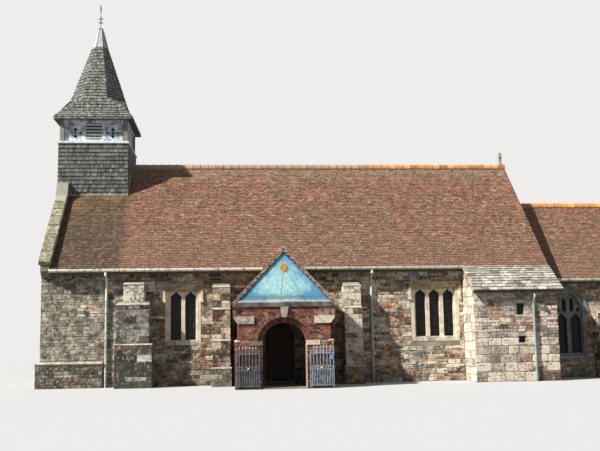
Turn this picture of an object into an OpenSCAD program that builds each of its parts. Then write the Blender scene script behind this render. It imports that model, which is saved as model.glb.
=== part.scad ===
// Small parish church with a brick south porch, a pair of iron porch gates,
// a shingled bell turret with a broach spire, and a lower chancel.
// Millimetres. The origin is at ground level in the middle of the porch arch, on the porch's front face.
// +X runs east along the building, +Y runs north through the porch into the nave, +Z is up.

/* [Nave] */
// Outside length of the nave, west face to east face
nave_l = 19160; // [17800:10:23500]
// Outside width of the nave
nave_w = 8740; // [7280:10:10500]
// Distance from the nave's west face to the middle of the porch
porch_from_west = 8860; // [8300:10:9600]
// Thickness of the nave's rubble walls
nave_wall_t = 750; // [600:10:900]
// Height of the tile edge at the nave's eaves
nave_eaves_z = 4350; // [4100:10:5000]
// Height of the nave's ridge
nave_ridge_z = 9160; // [8400:10:10400]
// Overhang of the nave's eaves beyond the wall
eaves_out = 300; // [200:10:380]
// Overhang of the roof at the nave's east gable
verge_out = 140; // [60:10:300]
// Thickness of every tiled roof, tiles to rafters, square to the slope
roof_t = 200; // [120:10:260]
// Depth of the boxed eaves board
fascia_h = 160; // [110:10:200]
// Height of the floor above the ground
floor_h = 120; // [60:10:200]

/* [West gable] */
// Thickness of the gable parapet that rises through the roof
parapet_t = 320; // [260:10:420]
// Height of the coping's top above the tiles, measured straight up
coping_rise = 340; // [250:10:500]
// Thickness of the coping slabs, measured straight up
coping_t = 130; // [80:10:200]
// Width of the coping slabs
coping_w = 460; // [400:10:600]
// Height of the plinth round the west end
plinth_h = 950; // [600:10:1200]
// How far the plinth stands out from the wall
plinth_out = 130; // [60:10:200]
// Length of the plinth along the side walls
plinth_l = 2290; // [1500:10:2400]

/* [Chancel] */
// Outside length of the chancel
chancel_l = 8000; // [7000:10:9600]
// Outside width of the chancel
chancel_w = 7540; // [6400:10:8100]
// Thickness of the chancel's walls
chancel_wall_t = 650; // [550:10:800]
// Height of the tile edge at the chancel's eaves
chancel_eaves_z = 3850; // [3700:10:4100]
// Height of the chancel's ridge
chancel_ridge_z = 7380; // [6400:10:8000]
// Half width of the arch between nave and chancel
chancel_arch_r = 1700; // [1400:10:2000]
// Height at which that arch springs
chancel_arch_z = 2500; // [2100:10:2900]

/* [Bell turret and spire] */
// Width of the turret, east to west
turret_w = 2820; // [2350:10:3400]
// Depth of the turret, south to north
turret_d = 2900; // [2400:10:3400]
// Thickness of the turret's boarded and shingled walls
turret_t = 120; // [80:10:180]
// Height of the turret's foot on the gable wall
turret_foot_z = 7600; // [7300:10:7900]
// Height of the underside of the lead sill band
sill_z = 9880; // [9500:10:10400]
// Height of the lead sill band
sill_h = 100; // [60:10:140]
// Height of the belfry stage between the sill band and the spire
belfry_h = 920; // [760:10:1100]
// Width of the belfry's corner posts
belfry_post = 180; // [120:10:240]
// Width of the louvred opening in each belfry face
louvre_w = 660; // [500:10:800]
// Overhang of the spire's eaves beyond the turret
spire_out = 200; // [120:10:300]
// Height of the spire from its soffit to the tip of the shingles
spire_h = 3560; // [3000:10:4300]
// Height of the lead cap over the shingles
lead_cap_h = 880; // [700:10:1100]
// Height of the flared skirt where the square turns into eight sides
skirt_h = 990; // [800:10:1200]
// Length of the iron rod above the lead cap
finial_h = 1130; // [900:10:1300]

/* [Porch] */
// Depth of the porch from its front face to the nave wall
porch_depth = 2900; // [2500:10:3400]
// Width of the porch's lower stage
porch_w = 3400; // [3200:10:4080]
// How far the middle stage is set in on each side
porch_step = 100; // [50:5:150]
// How far the brick band under the eaves oversails the middle stage
band_out = 160; // [100:5:200]
// Height of the lower stage
porch_low_h = 1640; // [1500:10:1700]
// Set-back of the porch front above the lower stage
porch_set = 50; // [20:5:80]
// Thickness of the porch front
porch_front_t = 450; // [340:10:560]
// Thickness of the porch's side walls
porch_side_t = 350; // [250:10:450]
// Width between the jambs of the porch arch
arch_w = 1520; // [1250:10:1830]
// Height of the centre of the arch rings
arch_z = 1500; // [1450:10:1600]
// Width of the front ring of the arch outside the jambs
arch_ring = 180; // [100:10:220]
// Depth of the front ring of the arch
arch_ring_d = 120; // [80:10:180]
// Height of the impost stones
impost_h = 160; // [120:10:200]
// Length of the impost stones along the front
impost_l = 460; // [350:10:560]
// Height of the porch ridge
porch_ridge_z = 4850; // [4600:10:5100]
// Height of the porch's eaves at the tile edge
porch_eaves_z = 2940; // [2860:10:3100]
// Overhang of the porch roof beyond the brick band
porch_eaves_out = 40; // [20:5:120]
// Overhang of the porch roof in front of the gable
porch_verge_out = 200; // [120:10:240]
// Thickness of the porch roof, measured straight up
porch_roof_t = 150; // [100:10:200]
// Height of the moulded cornice
cornice_h = 190; // [140:10:220]
// How far the cornice stands out from the brickwork
cornice_out = 120; // [80:5:160]
// Height of the cornice's top edge
cornice_z = 2990; // [2900:10:3060]
// Thickness of the rendered panel in the gable
panel_t = 90; // [40:5:100]
// Radius of the gilt disc at the root of the sundial's gnomon
dial_r = 130; // [80:5:160]
// Height of that disc
dial_z = 4140; // [4000:10:4200]
// How far the tip of the gnomon stands out from the panel
gnomon_out = 360; // [250:10:420]
// How far the tip hangs below the disc
gnomon_drop = 450; // [300:10:520]

/* [Porch gates] */
// Distance of each hinge axis outside the jamb of the arch
gate_axis_out = 85; // [60:5:160]
// Distance of the hinge axes in front of the porch
gate_axis_y = 75; // [60:5:110]
// Gap between the two leaves when they are closed
gate_gap = 20; // [12:2:40]
// Height of the gates to the tips of the spear heads
gate_h = 1450; // [1200:10:1460]
// Clearance under the gates
gate_clear = 50; // [20:5:120]
// Number of upright bars between the two end bars
gate_bars = 6; // [5:1:9]
// Radius of the upright bars
gate_bar_r = 9; // [6:1:10]
// Radius of the pintle pins
pintle_r = 8; // [6:1:10]
// Radial clearance of a pin in its eye
pin_clear = 0.5; // [0.3:0.1:1]

/* [Inner door] */
// Half width of the doorway's front arch, and its radius
door_r = 550; // [450:10:600]
// Height of the centre of the doorway's arch
door_spring_z = 1750; // [1500:10:1850]
// How far the leaf laps behind the front arch on each side
door_lap = 70; // [40:5:90]
// Thickness of the boarded leaf
door_t = 60; // [45:5:75]
// Depth of the doorway's front arch
door_order_d = 160; // [100:10:240]
// Half width of the recess behind the leaf
door_recess = 750; // [740:10:850]
// Height of that recess
door_recess_z = 2500; // [2440:10:2700]

/* [Stair bay] */
// Distance of the bay's east face from the nave's east face
bay_from_east = 50; // [20:10:400]
// Length of the bay
bay_l = 3150; // [2600:10:3300]
// How far the bay stands out from the nave
bay_out = 1450; // [1200:10:1700]
// Thickness of the bay's walls
bay_t = 400; // [300:10:500]
// Height of the slates at the bay's eaves
bay_eaves_z = 3360; // [3200:10:3500]
// Thickness of the stone slates and their boards, measured straight up
bay_roof_t = 140; // [90:10:180]

/* [Windows] */
// Width of one light of the nave windows
light_w = 400; // [330:10:480]
// Width of the mullions
mullion = 145; // [100:5:180]
// Width of the window's stone surround
surround = 190; // [120:10:230]
// Depth of the moulded outer frame
frame_d = 90; // [60:10:140]
// Depth of the mullions and heads
tracery_d = 140; // [90:10:180]
// Thickness of the glass
glass_t = 10; // [6:1:16]
// Height of the nave window sills
nave_sill_z = 1700; // [1500:10:1900]
// Height of the tips of the nave window lights
nave_light_top = 3520; // [3200:10:3600]
// Gap between the three-light window's stonework and the bay
window_three_gap = 175; // [120:5:400]
// Middle of the west chancel window, from the nave's east face
chancel_window_x = 1230; // [1150:10:1400]
// Middle of the east chancel window, from the inner face of the east wall
chancel_end = 1120; // [900:10:1400]
// Height of the chancel window sills
chancel_sill_z = 950; // [800:10:1100]
// Height at which the chancel window arches spring
chancel_spring_z = 2500; // [2300:10:2560]

/* [Rainwater goods] */
// Outer radius of the gutters' round bottom
gutter_r = 70; // [50:5:80]
// Height of the gutters' upright sides above it
gutter_lip = 45; // [20:5:60]
// Radius of the downpipes
pipe_r = 45; // [32:1:50]
// Gap between a downpipe and its wall
pipe_gap = 30; // [20:5:60]

/* [Hidden] */

$fn = 48;
fit = 0.3;
far = 60000;

// Faces of the building that everything else is placed from
nave_x0 = -porch_from_west;
nave_x1 = nave_x0 + nave_l;
nave_y0 = porch_depth;
nave_y1 = nave_y0 + nave_w;
ridge_y = (nave_y0 + nave_y1) / 2;
eaves_y = nave_y0 - eaves_out;
nave_pitch = atan((nave_ridge_z - nave_eaves_z) / (ridge_y - eaves_y));
nave_roof_v = roof_t / cos(nave_pitch);
roof_x0 = nave_x0 + parapet_t;
roof_x1 = nave_x1 + verge_out;

chancel_x1 = nave_x1 + chancel_l;
chancel_y0 = ridge_y - chancel_w / 2;
chancel_y1 = ridge_y + chancel_w / 2;
chancel_eaves_y = chancel_y0 - eaves_out;
chancel_pitch = atan((chancel_ridge_z - chancel_eaves_z) / (ridge_y - chancel_eaves_y));
chancel_roof_v = roof_t / cos(chancel_pitch);

turret_x0 = nave_x0 - 70;
turret_x1 = turret_x0 + turret_w;
turret_cx = (turret_x0 + turret_x1) / 2;
turret_y0 = ridge_y - turret_d / 2;
belfry_z = sill_z + sill_h;
spire_z = belfry_z + belfry_h;
lead_z = spire_z + spire_h;
rod_z = lead_z + lead_cap_h;

porch_half = porch_w / 2;
porch_mid = porch_half - porch_step;
porch_band = porch_mid + band_out;
porch_roof_half = porch_band + porch_eaves_out;
porch_slope = (porch_ridge_z - porch_eaves_z) / porch_roof_half;
brick_y = porch_set;
corner_stone_l = 560;
corbel_z0 = 2220;
corbel_z1 = 2480;
corbel_in = porch_mid - corner_stone_l;
gate_axis_x = arch_w / 2 + gate_axis_out;

bay_x1 = nave_x1 - bay_from_east;
bay_x = bay_x1 - bay_l;
bay_y0 = nave_y0 - bay_out;
bay_eaves_y = bay_y0 - 230;
bay_slope = (nave_eaves_z - bay_eaves_z) / (eaves_y - bay_eaves_y);

door_axis_x = -(door_r + door_lap + 20);
door_leaf_y = nave_y0 + door_order_d + 10;
door_axis_y = door_leaf_y + door_t + 20;

function nave_top(y) = nave_eaves_z + (y - eaves_y) * tan(nave_pitch);
function chancel_top(y) = chancel_eaves_z + (y - chancel_eaves_y) * tan(chancel_pitch);
function porch_top(x) = porch_ridge_z - abs(x) * porch_slope;
function bay_top(y) = bay_eaves_z + (y - bay_eaves_y) * bay_slope;

// Placing helpers
// A profile drawn as (Y, Z), run along X
module along_x(x0, x1) {
    translate([x0, 0, 0]) rotate([90, 0, 90]) linear_extrude(x1 - x0) children();
}

// A profile drawn as (X, Z), run along Y
module along_y(y0, y1) {
    translate([0, y1, 0]) rotate([90, 0, 0]) linear_extrude(y1 - y0) children();
}

module box(a, b) {
    translate(a) cube(b - a);
}

// The same piece again on the north side of the ridge line
module north_side() {
    translate([0, 2 * ridge_y, 0]) mirror([0, 1, 0]) children();
}

// A round bar between two points
module bar(a, b, r) {
    d = b - a;
    len = norm(d);
    translate(a) rotate([0, acos(d[2] / len), atan2(d[1], d[0])]) cylinder(h = len, r = r, $fn = 20);
}

// Window and arch outlines, drawn about X = 0
// A pointed arch over a rectangle; rise is the height of the point over the springing
module pointed(half, z0, spring, rise) {
    r = (rise * rise + half * half) / (2 * half);
    intersection() {
        translate([r - half, spring]) circle(r, $fn = 144);
        translate([half - r, spring]) circle(r, $fn = 144);
        translate([-half, spring]) square([2 * half, rise + 1]);
    }
    translate([-half, z0]) square([2 * half, spring - z0]);
}

module round_arch(half, z0, spring) {
    translate([0, spring]) circle(half);
    translate([-half, z0]) square([2 * half, spring - z0]);
}

// One window light with a flattened, cusped head that rises to a small point
module cusped_light(half, z0, top) {
    spring = top - half;
    rise = half * 0.62;
    r = (rise * rise + half * half) / (2 * rise);
    difference() {
        union() {
            intersection() {
                translate([0, spring + rise - r]) circle(r, $fn = 96);
                translate([-half, spring]) square([2 * half, rise + 1]);
            }
            translate([-half, z0]) square([2 * half, spring - z0]);
        }
        for (side = [-1, 1])
            translate([side * half * 0.92, spring + half * 0.3]) circle(half * 0.16, $fn = 16);
    }
    polygon([[-half * 0.42, spring + half * 0.5], [half * 0.42, spring + half * 0.5], [0, top]]);
}

// Height of a pointed arch over its springing, at x from its middle
function arch_rise(x, half, rise) =
    let (r = (rise * rise + half * half) / (2 * half)) sqrt(r * r - pow(abs(x) + r - half, 2));

// The pierced cross in the belfry boards: a stem with arrow ends, and a lozenge at each side
module belfry_cross(r) {
    square([r * 0.17, r * 1.4], center = true);
    for (side = [-1, 1]) {
        polygon([[-r * 0.46, side * r * 0.5], [r * 0.46, side * r * 0.5], [0, side * r]]);
        translate([side * r * 1.1, 0]) rotate(45) square(r * 0.38, center = true);
    }
}

// Half width of the stonework of a square-headed window
function group_half(lights, lw) = (lights * lw + (lights - 1) * mullion) / 2;
function square_half(lights) = group_half(lights, light_w) + surround;
square_z0 = nave_sill_z - surround;
square_z1 = nave_light_top + 200;

module square_opening(lights) {
    translate([-square_half(lights), square_z0])
        square([2 * square_half(lights), square_z1 - square_z0]);
}

module lights_row(lights, lw, z0, top) {
    for (i = [0:lights - 1])
        translate([(i - (lights - 1) / 2) * (lw + mullion), 0]) cusped_light(lw / 2, z0, top);
}

// Square-headed window: moulded frame, mullions with cusped heads, and a label mould over it.
// Its outer face is at Y = 0 and it runs into the wall along +Y.
module square_window(lights) {
    half = square_half(lights);
    inner = half - surround + 60;
    along_y(-12, frame_d) difference() {
        square_opening(lights);
        translate([-inner, nave_sill_z - 40]) square([2 * inner, nave_light_top + 60 - nave_sill_z + 40]);
    }
    along_y(frame_d, frame_d + tracery_d) difference() {
        square_opening(lights);
        lights_row(lights, light_w, nave_sill_z, nave_light_top);
    }
    label = 80;
    drop = 560;
    along_y(-75, -12) difference() {
        translate([-half - label, square_z1 - drop]) square([2 * (half + label), drop + label]);
        translate([-half, square_z1 - drop - 1]) square([2 * half, drop + 1]);
    }
    along_y(-12, 0) difference() {
        translate([-half - label, square_z1 - drop]) square([2 * (half + label), drop + label]);
        translate([-half, square_z1 - drop - 1]) square([2 * half, drop + 1]);
    }
    along_y(-80, 0) for (side = [-1, 1])
        translate([side * (half + label / 2) - label * 0.8, square_z1 - drop - 60])
            square([label * 1.6, label]);
}

// Pointed window with tracery: the outline of its stonework and the window itself
pointed_surround = 200;
function pointed_half(lights) = group_half(lights, chancel_light_w(lights)) + pointed_surround;
function chancel_light_w(lights) = 430;
function pointed_rise(lights) = 1.55 * (pointed_half(lights) - pointed_surround);

module pointed_opening(lights, z0, spring) {
    half = pointed_half(lights);
    pointed(half, z0 - pointed_surround, spring, pointed_rise(lights) + pointed_surround * 1.3);
}

// Two narrow panels over each light, each as high as the arch lets it be
super_mullion = 95;
module upper_panels(lights, lw, z0, spring, inner, rise) {
    w = (lw - super_mullion) / 2;
    for (i = [0:lights - 1], side = [-1, 1]) {
        x = (i - (lights - 1) / 2) * (lw + mullion) + side * (super_mullion + w) / 2;
        top = spring + arch_rise(min(abs(x) + w * 0.2, inner), inner, rise) - 60;
        translate([x, 0]) pointed(w / 2, z0, max(z0 + 10, top - w * 0.7), w * 0.7);
    }
}

module pointed_window(lights, z0, spring) {
    inner = pointed_half(lights) - pointed_surround;
    rise = pointed_rise(lights);
    lw = chancel_light_w(lights);
    along_y(-12, frame_d) difference() {
        pointed_opening(lights, z0, spring);
        pointed(inner + 40, z0, spring, rise + 50);
    }
    along_y(frame_d, frame_d + tracery_d) difference() {
        pointed_opening(lights, z0, spring);
        lights_row(lights, lw, z0, spring);
        intersection() {
            pointed(inner - 30, z0, spring, rise - 45);
            upper_panels(lights, lw, spring + 80, spring, inner, rise);
        }
    }
    hood = 70;
    along_y(-70, -12) difference() {
        pointed(inner + pointed_surround + hood, spring - 40, spring,
                rise + pointed_surround * 1.3 + hood * 1.3);
        pointed(inner + pointed_surround, spring - 200, spring, rise + pointed_surround * 1.3);
    }
    along_y(-12, 0) difference() {
        pointed(inner + pointed_surround + hood, spring - 40, spring,
                rise + pointed_surround * 1.3 + hood * 1.3);
        pointed(inner + pointed_surround, spring - 200, spring, rise + pointed_surround * 1.3);
    }
}

// Where the nave's buttresses and side windows stand
slim_w = 640;
slim_foot = 40;
wide_w = 1330;
wide_x = nave_x0 + 2820;
middle_buttress_x = -2190;
east_buttress_x = 2710;
window_two_x = (wide_x + wide_w + middle_buttress_x - slim_w / 2 - slim_foot) / 2;
window_three_x = bay_x - window_three_gap - square_half(3);

east_sill_z = 1500;
east_spring_z = 3050;
west_window_y = ridge_y;
// The chancel windows share the wall evenly, with a buttress halfway between two
chancel_run = chancel_l - chancel_wall_t - chancel_window_x - chancel_end;
chancel_gaps = max(1, floor(chancel_run / 2300));
chancel_bay = chancel_run / chancel_gaps;
chancel_windows = [for (i = [0:chancel_gaps]) nave_x1 + chancel_window_x + i * chancel_bay];

// Walls
module nave_south_profile() {
    polygon([[nave_y0, 0], [nave_y0 + nave_wall_t, 0],
             [nave_y0 + nave_wall_t, nave_top(nave_y0 + nave_wall_t) - nave_roof_v],
             [nave_y0, nave_top(nave_y0) - nave_roof_v]]);
}

// Outline of a gable under its roof, drawn as (Y, Z)
module gable_profile(y0, y1, eaves, apex) {
    polygon([[y0, 0], [y1, 0], [y1, eaves], [(y0 + y1) / 2, apex], [y0, eaves]]);
}

module nave_south_wall_west() {
    color("#8f8676") difference() {
        along_x(nave_x0 + nave_wall_t, -door_recess) nave_south_profile();
        translate([window_two_x, 0, 0]) along_y(nave_y0 - 1, nave_y0 + nave_wall_t + 1) square_opening(2);
    }
}

module nave_south_wall_east() {
    color("#8f8676") difference() {
        along_x(door_recess, nave_x1 - nave_wall_t) nave_south_profile();
        translate([window_three_x, 0, 0]) along_y(nave_y0 - 1, nave_y0 + nave_wall_t + 1) square_opening(3);
    }
}

module nave_doorway() {
    color("#9a8f7c") difference() {
        along_x(-door_recess, door_recess) nave_south_profile();
        along_y(nave_y0 - 1, nave_y0 + door_order_d + 1) round_arch(door_r, -1, door_spring_z);
        box([-door_recess - 1, nave_y0 + door_order_d, -1],
            [door_recess + 1, nave_y0 + nave_wall_t + 1, door_recess_z]);
    }
}

module nave_north_wall() {
    color("#8f8676") north_side() difference() {
        along_x(nave_x0 + nave_wall_t, nave_x1 - nave_wall_t) nave_south_profile();
        translate([window_two_x, 0, 0]) along_y(nave_y0 - 1, nave_y0 + nave_wall_t + 1) square_opening(2);
        translate([window_three_x, 0, 0]) along_y(nave_y0 - 1, nave_y0 + nave_wall_t + 1) square_opening(3);
    }
}

module nave_west_wall() {
    under = nave_top(nave_y0) - nave_roof_v;
    apex = nave_ridge_z - nave_roof_v;
    rise = coping_rise - coping_t;
    color("#8a806f") difference() {
        union() {
            along_x(nave_x0, nave_x0 + nave_wall_t) gable_profile(nave_y0, nave_y1, under, apex);
            along_x(nave_x0, roof_x0)
                gable_profile(nave_y0, nave_y1, nave_top(nave_y0) + rise, nave_ridge_z + rise);
        }
        box([nave_x0 - 1, turret_y0, turret_foot_z],
            [nave_x0 + nave_wall_t + 1, turret_y0 + turret_d, far]);
        translate([0, west_window_y, 0]) rotate([0, 0, -90])
            along_y(nave_x0 - 1, nave_x0 + nave_wall_t + 1) square_opening(2);
    }
}

module nave_east_wall() {
    color("#8a806f") difference() {
        along_x(nave_x1 - nave_wall_t, nave_x1)
            gable_profile(nave_y0, nave_y1, nave_top(nave_y0) - nave_roof_v, nave_ridge_z - nave_roof_v);
        translate([0, ridge_y, 0]) rotate([0, 0, 90])
            along_y(-nave_x1 - 1, -nave_x1 + nave_wall_t + 1)
                pointed(chancel_arch_r, -1, chancel_arch_z, chancel_arch_r * 1.3);
    }
}

// Sloping slabs on the west gable, with a flat end block against the turret and a kneeler at the eaves
module coping_profile() {
    y0 = nave_y0 - 280;
    rise = coping_rise;
    polygon([[y0, nave_top(y0) + rise], [turret_y0, nave_top(turret_y0) + rise],
             [turret_y0, nave_top(turret_y0) + rise - coping_t], [y0, nave_top(y0) + rise - coping_t]]);
    polygon([[turret_y0 - 420, nave_top(turret_y0 - 420) + rise - 1],
             [turret_y0, nave_top(turret_y0) + rise - 1],
             [turret_y0, nave_top(turret_y0) + rise + 170],
             [turret_y0 - 250, nave_top(turret_y0) + rise + 170]]);
}

module west_coping() {
    x0 = nave_x0 + parapet_t / 2 - coping_w / 2;
    y0 = nave_y0 - 280;
    color("#b5ad9a") for (north = [0, 1]) {
        translate([0, north * 2 * ridge_y, 0]) mirror([0, north, 0]) {
            along_x(x0, x0 + coping_w) coping_profile();
            // kneeler corbelled out of the corner of the wall
            along_x(nave_x0, roof_x0) polygon([
                [y0, nave_top(y0) + coping_rise - coping_t], [y0, nave_top(y0) - 60],
                [nave_y0, nave_top(y0) - 330],
                [nave_y0, nave_top(nave_y0) + coping_rise - coping_t]]);
        }
    }
}

module west_plinth() {
    chamfer = 90;
    x1 = nave_x0 + plinth_l;
    top = plinth_h - chamfer;
    color("#a79d88") {
        for (north = [0, 1]) translate([0, north * 2 * ridge_y, 0]) mirror([0, north, 0])
            along_x(nave_x0, x1) polygon([[nave_y0, 0], [nave_y0, plinth_h],
                [nave_y0 - plinth_out, top], [nave_y0 - plinth_out, 0]]);
        along_y(nave_y0 - plinth_out, nave_y1 + plinth_out) polygon([[nave_x0, 0], [nave_x0, plinth_h],
            [nave_x0 - plinth_out, top], [nave_x0 - plinth_out, 0]]);
    }
}

// One stage of a buttress against a wall face at y: width x0 to x1, height z0 to z1,
// standing out by out at the front, then weathered back to back_to over the height slope
module buttress_stage(y, x0, x1, z0, z1, out, back_to, slope) {
    along_x(x0, x1) polygon([[y, z0], [y - out, z0], [y - out, z1],
                             [y - back_to, z1 + slope], [y, z1 + slope]]);
}

module wide_buttress(y) {
    x = wide_x;
    buttress_stage(y, x, x + wide_w, 0, 1540, 850, 700, 60);
    buttress_stage(y, x + 30, x + wide_w - 120, 1600, 3000, 700, 480, 130);
    buttress_stage(y, x + 260, x + wide_w - 330, 3130, 3760, 480, 0, 200);
}

module slim_buttress(y, x, w) {
    buttress_stage(y, x - w / 2 - slim_foot, x + w / 2 + slim_foot, 0, 640, 950, 850, 40);
    buttress_stage(y, x - w / 2, x + w / 2, 680, 1640, 850, 740, 60);
    buttress_stage(y, x - w / 2, x + w / 2, 1700, 2790, 740, 560, 110);
    buttress_stage(y, x - w / 2, x + w / 2, 2900, 3620, 560, 0, 230);
}

module low_buttress(y, x, w) {
    buttress_stage(y, x - w / 2, x + w / 2, 0, 1250, 750, 560, 130);
    buttress_stage(y, x - w / 2, x + w / 2, 1380, 2480, 560, 0, 330);
}

module side_buttresses() {
    wide_buttress(nave_y0);
    slim_buttress(nave_y0, middle_buttress_x, slim_w);
    slim_buttress(nave_y0, east_buttress_x, slim_w);
}

module buttresses_south() {
    color("#948a78") side_buttresses();
}

module buttresses_north() {
    color("#948a78") north_side() side_buttresses();
}

// Roofs
// One slope of a roof with boxed eaves, drawn as (Y, Z)
module slope_profile(eave_y, eave_z, top_y, top_z, wall_y, v) {
    slope = (top_z - eave_z) / (top_y - eave_y);
    polygon([[eave_y, eave_z], [top_y, top_z], [top_y, top_z - v],
             [wall_y, eave_z + (wall_y - eave_y) * slope - v],
             [wall_y, eave_z - fascia_h], [eave_y, eave_z - fascia_h]]);
}

module nave_slope() {
    along_x(roof_x0, roof_x1)
        slope_profile(eaves_y, nave_eaves_z, ridge_y, nave_ridge_z, nave_y0, nave_roof_v);
}

module nave_roof_south() {
    color("#8b4a32") nave_slope();
}

module nave_roof_north() {
    color("#8b4a32") north_side() nave_slope();
}

module chancel_slope() {
    along_x(nave_x1, chancel_x1 + verge_out)
        slope_profile(chancel_eaves_y, chancel_eaves_z, ridge_y, chancel_ridge_z, chancel_y0, chancel_roof_v);
}

module chancel_roof_south() {
    color("#8b4a32") chancel_slope();
}

module chancel_roof_north() {
    color("#8b4a32") north_side() chancel_slope();
}

// Half-round ridge tiles bedded on the two slopes
ridge_tile_r = 140;
module ridge_profile(z, tan_slope) {
    difference() {
        translate([0, z - 50]) circle(ridge_tile_r);
        polygon([[0, z], [far, z - far * tan_slope], [-far, z - far * tan_slope]]);
    }
}

module ridge_tiles() {
    color("#c4662f") {
        translate([0, ridge_y, 0]) {
            along_x(turret_x1, roof_x1) ridge_profile(nave_ridge_z, tan(nave_pitch));
            along_x(nave_x1, chancel_x1 + verge_out) ridge_profile(chancel_ridge_z, tan(chancel_pitch));
        }
        porch_ridge();
    }
}

cross_h = 560;
module ridge_cross() {
    z = nave_ridge_z + ridge_tile_r - 50;
    arm = 75;
    x = nave_x1 - 30;
    color("#cfc7b4") translate([x, ridge_y, z]) {
        along_x(-60, 60) {
            translate([-110, 0]) square([220, 90]);
            translate([-arm / 2, 90]) square([arm, cross_h - 90]);
            translate([-150, cross_h * 0.62]) square([300, arm]);
        }
    }
}

module nave_floor() {
    color("#a39a8a") {
        box([nave_x0 + nave_wall_t, nave_y0 + nave_wall_t, 0],
            [nave_x1 - nave_wall_t, nave_y1 - nave_wall_t, floor_h]);
        box([-door_r, nave_y0, 0], [door_r, nave_y0 + nave_wall_t, floor_h]);
        box([-door_recess, nave_y0 + door_order_d, 0], [door_recess, nave_y0 + nave_wall_t, floor_h]);
    }
}

module chancel_floor() {
    color("#a39a8a") {
        box([nave_x1, chancel_y0 + chancel_wall_t, 0],
            [chancel_x1 - chancel_wall_t, chancel_y1 - chancel_wall_t, floor_h]);
        box([nave_x1 - nave_wall_t, ridge_y - chancel_arch_r, 0],
            [nave_x1, ridge_y + chancel_arch_r, floor_h]);
    }
}

// Chancel walls
module chancel_south_profile() {
    polygon([[chancel_y0, 0], [chancel_y0 + chancel_wall_t, 0],
             [chancel_y0 + chancel_wall_t, chancel_top(chancel_y0 + chancel_wall_t) - chancel_roof_v],
             [chancel_y0, chancel_top(chancel_y0) - chancel_roof_v]]);
}

module chancel_side_wall() {
    difference() {
        along_x(nave_x1, chancel_x1 - chancel_wall_t) chancel_south_profile();
        for (x = chancel_windows) translate([x, 0, 0])
            along_y(chancel_y0 - 1, chancel_y0 + chancel_wall_t + 1)
                pointed_opening(2, chancel_sill_z, chancel_spring_z);
    }
}

module chancel_south_wall() {
    color("#8f8676") chancel_side_wall();
}

module chancel_north_wall() {
    color("#8f8676") north_side() chancel_side_wall();
}

module chancel_east_wall() {
    color("#8a806f") difference() {
        along_x(chancel_x1 - chancel_wall_t, chancel_x1)
            gable_profile(chancel_y0, chancel_y1, chancel_top(chancel_y0) - chancel_roof_v,
                          chancel_ridge_z - chancel_roof_v);
        translate([0, ridge_y, 0]) rotate([0, 0, 90])
            along_y(-chancel_x1 - 1, -chancel_x1 + chancel_wall_t + 1)
                pointed_opening(3, east_sill_z, east_spring_z);
    }
}

module chancel_buttresses() {
    color("#948a78") for (i = [0:chancel_gaps - 1]) {
        x = nave_x1 + chancel_window_x + (i + 0.5) * chancel_bay;
        low_buttress(chancel_y0, x, 620);
        north_side() low_buttress(chancel_y0, x, 620);
    }
}

// Stair bay
module bay_roof_body() {
    polygon([[bay_eaves_y, bay_eaves_z], [eaves_y, nave_eaves_z],
             [eaves_y, nave_eaves_z - bay_roof_t], [bay_eaves_y, bay_eaves_z - bay_roof_t]]);
}

small_windows = [[bay_x1 - 1400, 2440, 280, 420], [bay_x1 - 1380, 1410, 250, 240]];

module stair_bay_walls() {
    reveal = 60;
    color("#9a8f7c") difference() {
        box([bay_x, bay_y0, 0], [bay_x1, nave_y0, far / 8]);
        box([bay_x + bay_t, bay_y0 + bay_t, -1], [bay_x1 - bay_t, nave_y0 + 1, far / 8 + 1]);
        along_x(bay_x - 1, bay_x1 + 1) polygon([
            [bay_eaves_y, bay_eaves_z - bay_roof_t], [eaves_y, nave_eaves_z - bay_roof_t],
            [eaves_y, nave_eaves_z - fascia_h], [nave_y0 + 1, nave_eaves_z - fascia_h],
            [nave_y0 + 1, far], [bay_eaves_y, far]]);
        for (w = small_windows) {
            box([w[0] - w[2] / 2, bay_y0 - 1, w[1]], [w[0] + w[2] / 2, bay_y0 + bay_t + 1, w[1] + w[3]]);
            box([w[0] - w[2] / 2 - reveal, bay_y0 + bay_t / 2, w[1] - reveal],
                [w[0] + w[2] / 2 + reveal, bay_y0 + bay_t + 1, w[1] + w[3] + reveal]);
        }
    }
}

module stair_bay_roof() {
    color("#a8a294") along_x(bay_x - 60, bay_x1 + 190) bay_roof_body();
}

// Bell turret
module turret_walls() {
    color("#7d776c") difference() {
        box([turret_x0, turret_y0, turret_foot_z - 600],
            [turret_x1, turret_y0 + turret_d, sill_z]);
        box([turret_x0 + turret_t, turret_y0 + turret_t, 0],
            [turret_x1 - turret_t, turret_y0 + turret_d - turret_t, sill_z + 1]);
        along_x(roof_x0, far) polygon([[eaves_y, nave_eaves_z], [ridge_y, nave_ridge_z],
                                       [2 * ridge_y - eaves_y, nave_eaves_z]]);
        box([-far, 0, 0], [roof_x0, far, turret_foot_z]);
    }
}

module square_ring(grow, shrink, z0, z1) {
    difference() {
        box([turret_x0 - grow, turret_y0 - grow, z0],
            [turret_x1 + grow, turret_y0 + turret_d + grow, z1]);
        box([turret_x0 + shrink, turret_y0 + shrink, z0 - 1],
            [turret_x1 - shrink, turret_y0 + turret_d - shrink, z1 + 1]);
    }
}

module turret_sill_band() {
    color("#d9dcda") {
        square_ring(60, turret_t + 80, sill_z, sill_z + sill_h * 0.6);
        square_ring(30, turret_t + 80, sill_z + sill_h * 0.6, belfry_z);
    }
}

// One face of the belfry as (along, up), centred on 0 and standing on Z = 0
module belfry_face(w) {
    board_half = (w / 2 - belfry_post - louvre_w / 2) / 2;
    difference() {
        translate([-w / 2, 0]) square([w, belfry_h]);
        translate([-louvre_w / 2, 90]) square([louvre_w, belfry_h - 90 - 130]);
        for (side = [-1, 1])
            translate([side * (louvre_w / 2 + board_half), belfry_h * 0.4]) belfry_cross(cross_r);
    }
}

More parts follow.
